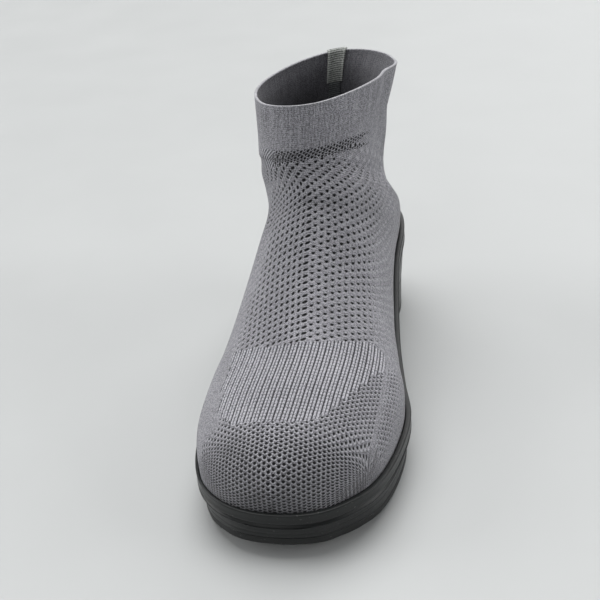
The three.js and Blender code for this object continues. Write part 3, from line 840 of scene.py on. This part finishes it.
def make_midsole():
    """The wedge: its cavity's wall, the rim's lip, and down the side over band, groove, ridge and line."""
    loop = outline_at(RIM_HEIGHT)

    def edge(out, line, radius, start, end):
        angles = np.radians(np.linspace(start, end, CURVE_STEPS))
        return [(out + radius * math.cos(a), raised(line, radius * math.sin(a))) for a in angles]

    def lined(share, depth):
        """The fine line down the side is shallow at the toe."""
        return lambda y: flared(share)(y) - depth * (0.35 + 0.65 * smooth(0.95, 0.5, station_of(y)))

    def between(share, drop=0.0):
        return lambda y: groove_foot(y) * (1 - share) + midsole_foot(y) * share - drop

    groove_middle = raised(band_foot, -GROOVE_WIDTH / 2)
    foot = between(1, CLEARANCE * 0.8)
    profile = [
        *edge(RIM_OUT - RIM_ROUND, raised(rim_top_at, -RIM_ROUND), RIM_ROUND, 90, 0),
        (RIM_OUT - 0.25, raised(rim_top_at, -RIM_BAND * 0.45)),
        (RIM_OUT - 0.15, raised(rim_top_at, -RIM_BAND * 0.75)),
        (RIM_OUT - 0.05, raised(band_foot, 0.35)),
        (RIM_OUT - 0.35, raised(band_foot, 0.05)),
        (RIM_OUT - GROOVE_DEPTH, raised(groove_middle, 0.2)),
        (RIM_OUT - GROOVE_DEPTH, raised(groove_middle, -0.2)),
        (RIM_OUT - 0.3, raised(groove_foot, 0.05)),
        (RIM_OUT + 0.05, raised(groove_foot, -0.35)),
        (flared(0.15, -0.05), between(0.06)),
        (flared(0.35, 0.05), between(0.14)),
        (flared(0.6), between(0.35)),
        (flared(0.8), between(0.53)),
        (lined(0.82, 0.15), between(0.55)),
        (lined(0.85, LINE_DEPTH), between(0.55, LINE_WIDTH * 0.45)),
        (lined(0.88, 0.15), between(0.55, LINE_WIDTH * 0.9)),
        (flared(0.9), between(0.57, LINE_WIDTH)),
        (flared(0.96), between(0.8)),
        (flared(1, 0.02), between(1, -0.2)),
        (flared(1, 0.12), foot),
    ]
    rings = [ring(outline_at(height), CLEARANCE, raised(bed_at, height)) for height in CAVITY_RINGS]
    rings += ramp(loop, edge(CLEARANCE + LIP, raised(rim_top_at, -LIP), LIP, 180, 90))
    rings += ramp(loop, profile, RIM_ASIDE)
    points, faces = body_of_rings(rings, bed_at, foot)
    return mesh_object("midsole_wedge", points, faces)


def tread_slots():
    """The grooves across the tread as one mesh: slots with round ends, a margin short of the edge."""
    loop = outline_at(RIM_HEIGHT)
    line = ring(loop, RIM_OUT + flare_at(loop[:, 1]) - TREAD_MARGIN, ground_at) + [RIM_ASIDE, 0, 0]
    half = len(line) // 2
    inner, outer = line[: half + 1], np.vstack([line[half:], line[:1]])
    inner = inner[np.argsort(inner[:, 1])]
    outer = outer[np.argsort(outer[:, 1])]
    radius = TREAD_GROOVE / 2
    turns = np.radians(np.linspace(-90, 90, 9))
    points, faces = [], []
    for start, end in TREADS:
        count = int((end - start) * SOLE_LENGTH / TREAD_PITCH) + 1
        for y in along_y(start) - (np.arange(count) + 0.5) * TREAD_PITCH:
            right = np.interp(y, inner[:, 1], inner[:, 0]) - radius
            left = np.interp(y, outer[:, 1], outer[:, 0]) + radius
            if right - left < TREAD_GROOVE:
                continue
            ends = [(right + radius * math.cos(a), y + radius * math.sin(a)) for a in turns]
            ends += [(left - radius * math.cos(a), y - radius * math.sin(a)) for a in turns]
            corners, base = len(ends), len(points)
            foot = float(ground_at(y))
            for height in (foot - TREAD_DEPTH, foot + TREAD_DEPTH):
                points += [(*end, height) for end in ends]
            faces.append(list(range(base + corners - 1, base - 1, -1)))
            faces.append(list(range(base + corners, base + 2 * corners)))
            faces += grid_faces(2, corners, base, closed=True)
    return mesh_object("tread_slots", points, faces)


def cut_away(piece, cutter):
    """The piece less the cutter, which is then taken away."""
    less = piece.modifiers.new("slots", "BOOLEAN")
    less.operation = "DIFFERENCE"
    less.solver = "EXACT"
    less.object = cutter
    bpy.context.view_layer.update()
    seen = piece.evaluated_get(bpy.context.evaluated_depsgraph_get())
    mesh = bpy.data.meshes.new_from_object(seen)
    piece.modifiers.clear()
    piece.data = mesh
    bpy.data.objects.remove(cutter)
    return piece


def make_outsole():
    """The tread layer with its grooves."""
    round_off = TREAD_ROUND * 0.3
    profile = [
        (flared(1, 0.12), outsole_top),
        (flared(1, 0.02), raised(outsole_top, -0.2)),
        (flared(1), raised(ground_at, OUTSOLE_THICKNESS * 0.6)),
        (flared(1), raised(ground_at, TREAD_ROUND)),
        (flared(1, round_off), raised(ground_at, round_off)),
        (flared(1, TREAD_ROUND), ground_at),
    ]
    rings = ramp(outline_at(RIM_HEIGHT), profile, RIM_ASIDE)
    points, faces = body_of_rings(rings, outsole_top, ground_at)
    return cut_away(mesh_object("outsole_tread", points, faces), tread_slots())


def make_insole():
    inset = -WALL - CLEARANCE
    foot = raised(bed_at, CLEARANCE)
    top = raised(foot, INSOLE_THICKNESS)
    rounded = [(inset - 0.9, top), (inset - 0.25, raised(top, -0.25)), (inset, raised(top, -0.9))]
    under = [(inset, raised(foot, 0.5)), (inset - 0.4, foot)]
    rings = ramp(outline_at(INSOLE_THICKNESS), rounded) + ramp(outline_at(0.6), under)
    points, faces = body_of_rings(rings, top, foot, 40)
    return mesh_object("insole_liner", points, faces)


def back_place(drop):
    """The section whose back point lies that far below the collar's edge."""
    fine = np.linspace(FIRST_HEEL, COLLAR_PLACE, 2000)
    heights = section_at(fine)[:, 3]
    return np.interp(heights[-1] - drop, heights, fine)


def turn_across(section, across):
    """How far round a section lie the points that are that far across from its lowest point."""
    half, base, fold = section[5], section[8], section[11]
    side = np.sign(across + 1e-9)
    power = 2 / (base - np.where(side > 0, fold, 0))
    share = np.minimum(np.abs(across) / half, 1)
    return side * (1 - np.arcsin(share ** (1 / power)) / np.pi)


def make_ribbon(name, path, width, dark, columns=22):
    """A ribbon along the back seam, through steps of (drop, offset, height above, out, up); dark is 0 or 1."""
    path = np.array(path, float)
    across = (np.linspace(0, 1, columns + 1) - 0.5) * width + TAPE_ASIDE
    faces_of = []
    for side in (1, -1):
        rows = []
        for drop, offset, above, out, up in path:
            place = back_place(max(drop, 0))
            turn = turn_across(section_at(place), across)
            thick = TAPE_THICKNESS / 2 * side
            row = shell(np.full(columns + 1, place), turn, np.full(columns + 1, offset + thick * out))
            row[:, 2] += above + thick * up
            rows.append(row)
        faces_of.append(np.array(rows))
    count = len(path)
    points = np.concatenate(faces_of).reshape(-1, 3)
    wide = columns + 1
    faces = grid_faces(count, wide) + grid_faces(count, wide, count * wide, flip=True)
    other = count * wide
    for r in range(count - 1):
        a, b = r * wide, (r + 1) * wide
        faces.append((a, b, b + other, a + other))
        faces.append((a + other + columns, b + other + columns, b + columns, a + columns))
    for c in range(columns):
        last = (count - 1) * wide
        faces.append((c + other, c + 1 + other, c + 1, c))
        faces.append((last + c, last + c + 1, last + c + 1 + other, last + c + other))
    run = run_along(faces_of[0][:, columns // 2])
    weave = np.stack(np.broadcast_arrays(across[None], run[:, None], dark), axis=-1).reshape(-1, 3)
    return mesh_object(name, points, faces, {"weave": np.vstack([weave, weave])})


# Material nodes are written as sums and products of terms, each the output of one node
class Term:
    def __init__(self, tree, socket):
        self.tree = tree
        self.socket = socket

    def joined(self, operation, *others):
        return math_node(self.tree, operation, self, *others)

    def __add__(self, other):
        return self.joined("ADD", other)

    def __sub__(self, other):
        return self.joined("SUBTRACT", other)

    def __mul__(self, other):
        return self.joined("MULTIPLY", other)

    def __truediv__(self, other):
        return self.joined("DIVIDE", other)

    def __rsub__(self, other):
        return math_node(self.tree, "SUBTRACT", other, self)

    __radd__ = __add__
    __rmul__ = __mul__

    def floor(self):
        return self.joined("FLOOR")

    def fract(self):
        return self.joined("FRACT")

    def size(self):
        return self.joined("ABSOLUTE")

    def wave(self):
        """A sine that repeats at every whole number, from 0 to 1."""
        return (self * (2 * math.pi)).joined("SINE") * 0.5 + 0.5

    def most(self, other):
        return self.joined("MAXIMUM", other)

    def step(self, low, high):
        """0 on the side of low and 1 on the side of high, with soft ends."""
        node = self.tree.nodes.new("ShaderNodeMapRange")
        node.interpolation_type = "SMOOTHSTEP"
        fill(self.tree, node.inputs["Value"], self)
        node.inputs["From Min"].default_value = low
        node.inputs["From Max"].default_value = high
        return Term(self.tree, node.outputs["Result"])


def fill(tree, slot, value):
    """Links a term to a slot, or sets the slot to a number or colour."""
    if isinstance(value, Term):
        tree.links.new(value.socket, slot)
    else:
        slot.default_value = value


def math_node(tree, operation, *terms):
    node = tree.nodes.new("ShaderNodeMath")
    node.operation = operation
    for slot, term in zip(node.inputs, terms):
        fill(tree, slot, term)
    return Term(tree, node.outputs["Value"])


def attribute(tree, name):
    """The three parts of a point attribute."""
    node = tree.nodes.new("ShaderNodeAttribute")
    node.attribute_name = name
    split = tree.nodes.new("ShaderNodeSeparateXYZ")
    tree.links.new(node.outputs["Vector"], split.inputs[0])
    return [Term(tree, split.outputs[axis]) for axis in "XYZ"]


def single(tree, name):
    node = tree.nodes.new("ShaderNodeAttribute")
    node.attribute_name = name
    return Term(tree, node.outputs["Fac"])


def vector(tree, x, y, z=0.0):
    node = tree.nodes.new("ShaderNodeCombineXYZ")
    for slot, term in zip(node.inputs, (x, y, z)):
        fill(tree, slot, term)
    return node.outputs[0]


def place_in_mm(tree):
    """The point's own place, in mm."""
    node = tree.nodes.new("ShaderNodeTexCoord")
    scale = tree.nodes.new("ShaderNodeVectorMath")
    scale.operation = "SCALE"
    tree.links.new(node.outputs["Object"], scale.inputs[0])
    scale.inputs["Scale"].default_value = 1 / MM
    return scale.outputs[0]


def noise(tree, place, scale, detail=2.0, roughness=0.5):
    node = tree.nodes.new("ShaderNodeTexNoise")
    tree.links.new(place, node.inputs["Vector"])
    node.inputs["Scale"].default_value = scale
    node.inputs["Detail"].default_value = detail
    node.inputs["Roughness"].default_value = roughness
    return Term(tree, node.outputs["Fac"])


def blend(tree, share, first, second):
    """A colour between two, each a colour or the output of another blend."""
    node = tree.nodes.new("ShaderNodeMix")
    node.data_type = "RGBA"
    fill(tree, node.inputs["Factor"], share)
    colour_slots = [slot for slot in node.inputs if slot.type == "RGBA"]
    for slot, colour in zip(colour_slots, (first, second)):
        if isinstance(colour, tuple):
            slot.default_value = (*colour, 1.0)
        else:
            tree.links.new(colour, slot)
    return next(slot for slot in node.outputs if slot.type == "RGBA")


def new_material(name, **constants):
    """A material with the given numbers set on its shader's own sockets."""
    material = bpy.data.materials.new(name)
    material.use_nodes = True
    tree = material.node_tree
    shader = tree.nodes["Principled BSDF"]
    for key, value in constants.items():
        shader.inputs[key.replace("_", " ")].default_value = value
    return material, tree, shader


def finish_material(tree, shader, colour, roughness, height, strength=1.0):
    """Joins the colour, the roughness and the relief, whose height is in mm."""
    bump = tree.nodes.new("ShaderNodeBump")
    bump.inputs["Distance"].default_value = MM
    bump.inputs["Strength"].default_value = strength
    fill(tree, bump.inputs["Height"], height)
    tree.links.new(colour, shader.inputs["Base Color"])
    fill(tree, shader.inputs["Roughness"], roughness)
    tree.links.new(bump.outputs["Normal"], shader.inputs["Normal"])


# Colours as linear light; a pair is what the material varies between
YARN_DARK = (0.032, 0.032, 0.038)
YARN_LIGHT = (0.53, 0.525, 0.565)
# Painted shade: the dark inside of the boot seen through the holes
HOLE_SHADE = (0.004, 0.004, 0.005)
LINING_DARK = (0.006, 0.006, 0.007)
LINING_LIGHT = (0.13, 0.13, 0.145)
# The collar roll's pale edge yarn with a painted highlight on its top
COLLAR_PALE_AND_HIGHLIGHT = (0.50, 0.50, 0.52)
# Painted shade for the boot's inside, which is the same knit
INNER_PAINTED_SHADE = (0.045, 0.045, 0.052)
FOAM = ((0.0075, 0.0085, 0.0085), (0.0135, 0.015, 0.015))
RUBBER = ((0.006, 0.0065, 0.0065), (0.012, 0.013, 0.013))
SOLE_DUST = (0.10, 0.10, 0.097)
PILE = ((0.03, 0.03, 0.034), (0.11, 0.11, 0.118))
PALE_TAPE = ((0.09, 0.10, 0.092), (0.72, 0.74, 0.70))
DARK_TAPE = ((0.03, 0.034, 0.035), (0.24, 0.26, 0.26))
FLOOR = ((0.44, 0.45, 0.448), (0.48, 0.49, 0.488))

# Half the width and height of the holes in mm, and the pitch of what repeats
TOE_HOLE = (0.76, 0.7)
BAND_HOLE = (0.6, 0.74)
LINING_HOLE = (0.3, 0.3)
LINING_CELL = (1.3, 1.5)
CUFF_RIB = 0.78
SEAM_HALF = 1.0
SEAM_RUNG = 1.6
WEFT_PITCH = 1.25
WARP_PITCH = 0.7
HEM = (1.4, 0.7)


def stitches(x, y):
    """Plain knitting, a V in each cell, as a height from 0 to 1."""
    off = (x.fract() - 0.5).size() * 2
    leg = ((y + off * 0.5).fract() - 0.5).size() * 2
    side = off - 0.5
    return (1 - leg * leg) * (1 - side * side * 2.6)


def instep_mesh(x, y, skew):
    """Columns of holes on a slanted lattice: the distance from the nearest one, and the yarn between."""
    column = (x + 0.5).floor()
    offset = x - column
    across = offset * MESH_COLUMN["inner"]
    row = y - skew * column
    up = (row - (row + 0.5).floor()) * MESH_ROW
    centre = 1 - column.size().step(0.2, 0.8)
    inner = column.step(0.2, 0.8)
    outer = 1 - inner - centre
    wide = 0.86 + 0.22 * inner + 0.5 * centre
    lean = across * (0.35 * centre + 0.1 * inner) + across * outer * 0.5
    far = across / wide
    high = (up - lean) / (0.76 + 0.12 * outer)
    oval = (far * far + high * high).joined("SQRT")
    wedge = high.most(far.size() * 2 - high)
    distance = oval * (1 - inner * 0.55) + wedge * inner * 0.55
    beads = (row * 3 + offset * 3).wave() * (x * 2 + 0.25).wave()
    # shelf: the lower lip under each hole, which the knit raises a little and paints lighter as a painted
    # highlight
    shelf = (up - lean).step(-0.35, -0.75) * (up - lean).step(-1.7, -1.0) * far.size().step(1.5, 0.9)
    return distance, beads, shelf


def staggered_mesh(x, y, half_width, half_height, column, row):
    """Holes in columns staggered by half a row: the distance, and the V of yarn under each hole."""
    at = (x + 0.5).floor()
    offset = x - at
    across = offset.size()
    shifted = y + at * 0.5
    up = shifted - (shifted + 0.5).floor()
    far = across * column / half_width
    high = (up - across * 0.12) * row / half_height
    distance = (far * far + high * high).joined("SQRT")
    arm = (up + 0.38 - across * 0.42).size().step(0.2, 0.04)
    wall = across.step(0.26, 0.42)
    right = offset.step(-0.1, 0.25)
    return distance, arm, wall, right


def hole_of(distance, size):
    """1 in a hole and 0 outside; the hole shrinks and closes with its size."""
    return (distance / (size + 0.02)).step(1.15, 0.85) * size.step(0.1, 0.3)


def rib_yarn(tree, x, y, run):
    """The height and tone of the flex ribs: two strands of braid on each, painted lighter as a highlight, and
    a groove between, painted dark as shade.
    """
    # Ribs have their middles at whole numbers, so part is 0.5 there and 0 in the groove
    part = (x.fract() - 0.5).size()
    wale = (part - 0.27) * 4.4
    braid = (1 - wale * wale) * (0.45 + 0.55 * (y + wale.size() * 0.4).wave())
    groove = part.step(0.13, 0.03)
    gully = (0.5 - part).step(0.08, 0.0) * 0.3
    uneven = noise(tree, vector(tree, x * 0.6, run * 0.06), 1.0, 2.0).step(0.3, 0.62)
    height = braid * 0.3 - gully * 0.3 - groove * 0.1
    # Braids are painted light (painted highlight); the groove and the gully down each rib's middle are painted
    # dark (painted shade), unevenly along the ribs
    return height, braid * 0.66 - groove * (0.2 + uneven * 0.26) - gully * 1.3 - 0.12


def cuff_yarn(tree, girth, run, plain):
    """The height and tone of the cuff's fine ribs, uneven along their length."""
    fine_rib = (girth / CUFF_RIB).wave()
    streak = noise(tree, vector(tree, girth, run * 0.06), 0.9, 2.0).step(0.3, 0.7)
    return fine_rib * 0.14 + plain * 0.08, fine_rib * 0.28 + streak * 0.16 + plain * 0.28 - 0.24


def knit_material():
    material, tree, shader = new_material(
        "knit_yarn", Sheen_Weight=0.2, Sheen_Roughness=0.45, Specular_IOR_Level=0.2
    )
    girth, run, inside = attribute(tree, "fabric")
    rib_x, rib_y, rib = attribute(tree, "ribs")
    mesh_x, mesh_y, mesh_size = attribute(tree, "mesh_cells")
    toe_x, toe_y, toe_size = attribute(tree, "toe_cells")
    band_x, band_y, band = attribute(tree, "band_cells")
    slant, lines, cuff = attribute(tree, "band_lines")
    rim, mesh, seam = attribute(tree, "edges")
    skew = single(tree, "skew")
    place = place_in_mm(tree)
    fleck = noise(tree, place, 1.5, 2.0, 0.65).step(0.34, 0.66)
    patch = noise(tree, place, 0.05, 2.0)

    # Plain knitting, then each pattern in its own zone
    plain = stitches(girth / WALE, run / STITCH)
    rib_height, rib_tone = rib_yarn(tree, rib_x, rib_y, run)
    height = plain * 0.22 * (1 - rib) + rib * rib_height
    tone = (plain * 0.5 - 0.1) * (1 - rib) + rib * rib_tone

    distance, strand, shelf = instep_mesh(mesh_x, mesh_y, skew)
    mesh_hole = hole_of(distance, mesh_size)
    mesh_part = mesh * (1 - rib)
    height = height + mesh_part * (shelf * 0.06 + strand * 0.06)
    # The lip under each hole is painted lighter: painted highlight; the strands are the yarn's own pattern
    tone = tone + mesh_part * (strand * 0.22 + shelf * 0.22 - 0.08)

    toe_far, arm, wall, right = staggered_mesh(toe_x, toe_y, *TOE_HOLE, TOE_COLUMN, TOE_ROW)
    toe_hole = hole_of(toe_far, toe_size)
    twist = ((toe_x + toe_y) * 3).wave()
    # The V of yarn under each hole, more its right arm, is painted lighter: painted highlight on the holes'
    # lower lips, lit from above
    net = arm * (0.55 + right * 0.45)
    height = height + toe_size * (net * 0.3 + wall * 0.12 + twist * 0.05)
    tone = tone + toe_size * (net * 0.78 + wall * 0.12 - 0.26 + twist * 0.08)

    band_far, band_arm, band_wall, _ = staggered_mesh(band_x, band_y, *BAND_HOLE, BAND_COLUMN, BAND_ROW)
    band_hole = hole_of(band_far, band)
    stripe = slant.wave()
    height = height + band * band_arm * 0.2 + lines * stripe * 0.2
    # The V of yarn under each diamond is painted lighter: painted highlight on the holes' lower lips
    tone = tone + band * (band_arm * 0.6 + band_wall * 0.1 - 0.22)
    tone = tone * (1 - lines * 0.6) + lines * (stripe * 0.95 - 0.5)

    cuff_height, cuff_tone = cuff_yarn(tree, girth, run, plain)
    height = height * (1 - cuff) + cuff * cuff_height
    tone = tone * (1 - cuff) + cuff * cuff_tone

    # The back seam is a narrow ladder, pressed flat, between two low welts
    on_seam = seam.step(SEAM_HALF + 0.3, SEAM_HALF - 0.3)
    rungs = (run / SEAM_RUNG).wave()
    welt = seam.step(SEAM_HALF - 0.1, SEAM_HALF + 0.6) * seam.step(SEAM_HALF + 1.6, SEAM_HALF + 0.6)
    height = height - on_seam * 0.2 + on_seam * rungs * 0.15 + welt * 0.12
    tone = tone - on_seam * (0.3 - rungs * 0.2)

    hole = mesh_hole.most(toe_hole).most(band_hole)
    light = (tone + fleck * 0.42 + patch * 0.2 - 0.1).step(-0.22, 0.98)
    yarn = blend(tree, light, YARN_DARK, YARN_LIGHT)
    # The inner faces are painted darker: painted shade, where little light reaches inside the boot
    yarn = blend(tree, inside * 0.62, yarn, INNER_PAINTED_SHADE)
    # The top of the collar's roll is painted lighter, flecked: its pale edge yarn and a painted highlight
    yarn = blend(tree, rim * (0.35 + fleck * 0.5), yarn, COLLAR_PALE_AND_HIGHLIGHT)
    # The holes are dimples painted near black: painted shade of the inside behind them
    holed = blend(tree, hole, yarn, HOLE_SHADE)

    # Under the cuff the inside is a dark lining with a fine open net
    net_x, net_y = girth / LINING_CELL[0], run / LINING_CELL[1]
    lining_far, lining_arm, _, _ = staggered_mesh(net_x, net_y, *LINING_HOLE, *LINING_CELL)
    lined = inside * (1 - cuff)
    cloth = blend(tree, lining_arm * 0.6 + fleck * 0.3, LINING_DARK, LINING_LIGHT)
    # The lining's holes are painted near black too: painted shade behind them
    cloth = blend(tree, lining_far.step(1.2, 0.6), cloth, HOLE_SHADE)
    colour = blend(tree, lined, holed, cloth)
    relief = height - hole * 0.7 + fleck * 0.06
    relief = relief * (1 - lined) + lined * lining_arm * 0.15
    finish_material(tree, shader, colour, 0.92 - fleck * 0.12, relief)
    return material


def sole_material(name, dark, light, roughness):
    """Moulded foam or rubber: a fine grain, a few specks of dust and a soft, uneven sheen."""
    material, tree, shader = new_material(name, Specular_IOR_Level=0.32)
    place = place_in_mm(tree)
    grain = noise(tree, place, 3.0, 3.0, 0.6)
    cloud = noise(tree, place, 0.06, 3.0)
    smear = noise(tree, place, 0.35, 4.0, 0.65)
    speck = noise(tree, place, 0.9, 0.0).step(0.79, 0.83)
    share = cloud.step(0.35, 0.7) * 0.6 + smear * 0.4
    colour = blend(tree, share, dark, light)
    colour = blend(tree, speck * 0.5, colour, SOLE_DUST)
    gloss = roughness + smear * 0.14 + grain * 0.06 - 0.08
    finish_material(tree, shader, colour, gloss, grain * 0.035 + smear * 0.03 + speck * 0.05)
    return material


def liner_material():
    """Short brushed pile over a woven cloth."""
    material, tree, shader = new_material("liner_pile", Sheen_Weight=0.4, Sheen_Roughness=0.5)
    place = place_in_mm(tree)
    pile = noise(tree, place, 1.6, 4.0, 0.7)
    worn = noise(tree, place, 0.04, 2.0)
    colour = blend(tree, pile.step(0.3, 0.7) * 0.7 + worn * 0.3, *PILE)
    finish_material(tree, shader, colour, 0.95 - pile * 0.05, pile * 0.3)
    return material


def ribbon_material():
    """A woven ribbon: ribs across it, warp threads along it and a hem; the one on the seam is darker."""
    material, tree, shader = new_material("ribbon_weave", Sheen_Weight=0.15, Specular_IOR_Level=0.4)
    across, run, dark = attribute(tree, "weave")
    place = place_in_mm(tree)
    weft = (run / WEFT_PITCH).wave()
    warp = (across / WARP_PITCH).wave()
    fleck = noise(tree, place, 1.3, 2.0)
    cross = weft * (0.55 + warp * 0.45)
    selvedge = (across - TAPE_ASIDE).size().step(*(TAPE_WIDTH / 2 - inset for inset in HEM))
    share = cross * 0.75 + fleck.step(0.35, 0.65) * 0.3 + selvedge * 0.25 - 0.1
    colour = blend(tree, dark, blend(tree, share, *PALE_TAPE), blend(tree, share, *DARK_TAPE))
    finish_material(tree, shader, colour, 0.7 - cross * 0.15, cross * 0.25 + selvedge * 0.2 + fleck * 0.1)
    return material


def floor_material():
    material, tree, shader = new_material("pale_floor", Specular_IOR_Level=0.3)
    place = place_in_mm(tree)
    cloud = noise(tree, place, 0.01, 3.0)
    colour = blend(tree, cloud, *FLOOR)
    finish_material(tree, shader, colour, 0.55 + cloud * 0.1, cloud * 0.02)
    return material


def tape_paths():
    """Steps of the two ribbons down the back seam, as drop, offset, height above, out and up."""
    inside = lambda drop: -wall_at(drop) - CLEARANCE - TAPE_THICKNESS / 2
    outside = CLEARANCE + CUFF_STEP + TAPE_THICKNESS / 2
    lift = CLEARANCE + TAPE_THICKNESS / 2
    pull = [
        *[(drop, inside(drop), 0, -1, 0) for drop in np.linspace(PULL_INSIDE, 1, 30)],
        (0, inside(0) + 0.25, lift * 0.5, -0.7, 0.7),
        (0, -wall_at(0) / 2, lift, 0, 1),
        (0, outside - 0.25, lift * 0.5, 0.7, 0.7),
        *[(drop, outside, 0, 1, 0) for drop in np.linspace(1, PULL_OUTSIDE, 20)],
    ]
    drops = np.linspace(PULL_INSIDE + SEAM_TAPE_LENGTH, PULL_INSIDE + CLEARANCE, 60)
    seam = [(drop, inside(drop), 0, -1, 0) for drop in drops]
    return pull, seam


def dress(piece, node, material):
    """Gives a piece its material, hides the imported part it stands for and hangs it under the root body."""
    piece.data.materials.append(material)
    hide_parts(node)
    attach(piece, "root")


pull_path, seam_path = tape_paths()
knit = knit_material()
foam = sole_material("wedge_foam", *FOAM, 0.36)
rubber = sole_material("tread_rubber", *RUBBER, 0.5)
ribbon = ribbon_material()
dress(make_upper(), "upper", knit)
dress(make_midsole(), "midsole", foam)
dress(make_outsole(), "outsole", rubber)
dress(make_insole(), "insole", liner_material())
dress(make_ribbon("pull_tape_ribbon", pull_path, TAPE_WIDTH, 0.0), "pull_tape", ribbon)
dress(make_ribbon("seam_tape_ribbon", seam_path, SEAM_TAPE_WIDTH, 1.0), "seam_tape", ribbon)


# The photograph's camera: its place in mm of the solids' own frame, and its turns in degrees
CAMERA_PLACE = (62.04, -382.96, 279.31)
CAMERA_YAW = -1.69
CAMERA_PITCH = 29.465
CAMERA_ROLL = -0.239
AIM_ASIDE = -7.9
AIM_UP = -0.9
FOCAL_PIXELS = 850
FRAME_PIXELS = 600
SENSOR = 36.0
CLIP = (0.01, 50)
FLOOR_REACH = 4.0

# Each sun's name, strength, direction and spread in degrees
SUNS = (
    ("ceiling", 2.75, (-0.1, 0.3, 1.0), 50),
    ("left", 1.4, (-1.0, 0.05, 0.38), 40),
    ("right", 1.15, (1.0, 0.05, 0.38), 40),
    ("back", 0.8, (0.3, 1.0, 0.6), 40),
    ("front", 0.4, (-0.4, -1.0, 0.7), 40),
)
WORLD_COLOUR = (0.75, 0.77, 0.79, 1)
WORLD_STRENGTH = 0.2


def turned(first, second, angle):
    """Two directions turned together, the first towards the second."""
    cos, sin = math.cos(angle), math.sin(angle)
    return cos * first + sin * second, cos * second - sin * first


def add_camera():
    yaw, pitch, roll = np.radians([CAMERA_YAW, CAMERA_PITCH, CAMERA_ROLL])
    ahead = np.array([math.sin(yaw) * math.cos(pitch), math.cos(yaw) * math.cos(pitch), -math.sin(pitch)])
    right = np.array([math.cos(yaw), -math.sin(yaw), 0])
    up = np.cross(right, ahead)
    right, up = turned(right, up, roll)
    # From the same place the camera is turned to the one shoe
    aside, lift = np.radians([AIM_ASIDE, AIM_UP])
    ahead, right = turned(ahead, right, aside)
    ahead, up = turned(ahead, up, lift)
    data = bpy.data.cameras.new("camera")
    data.sensor_width = SENSOR
    data.lens = SENSOR * FOCAL_PIXELS / FRAME_PIXELS
    data.clip_start, data.clip_end = CLIP
    camera = bpy.data.objects.new("camera", data)
    place = (np.array(CAMERA_PLACE) + SHIFT) * MM
    axes = np.column_stack([right, up, -ahead, place])
    camera.matrix_world = Matrix(np.vstack([axes, [0, 0, 0, 1]]).tolist())
    bpy.context.collection.objects.link(camera)
    bpy.context.scene.camera = camera


def add_sun(name, strength, direction, spread):
    """Even light from one direction, as from a wide panel."""
    data = bpy.data.lights.new(name, "SUN")
    data.energy = strength
    data.angle = math.radians(spread)
    light = bpy.data.objects.new(name, data)
    light.rotation_euler = (-Vector(direction)).to_track_quat("-Z", "Y").to_euler()
    bpy.context.collection.objects.link(light)


def add_floor():
    mesh = bpy.data.meshes.new("floor")
    corners = [(x * FLOOR_REACH, y * FLOOR_REACH, 0) for x, y in ((-1, -1), (1, -1), (1, 1), (-1, 1))]
    mesh.from_pydata(corners, [], [(0, 1, 2, 3)])
    floor = bpy.data.objects.new("floor", mesh)
    bpy.context.collection.objects.link(floor)
    floor.data.materials.append(floor_material())


def add_world():
    world = bpy.data.worlds.new("studio")
    world.use_nodes = True
    background = world.node_tree.nodes["Background"]
    background.inputs["Color"].default_value = WORLD_COLOUR
    background.inputs["Strength"].default_value = WORLD_STRENGTH
    bpy.context.scene.world = world


add_camera()
add_floor()
for sun in SUNS:
    add_sun(*sun)
add_world()
bpy.context.scene.view_settings.view_transform = "Standard"
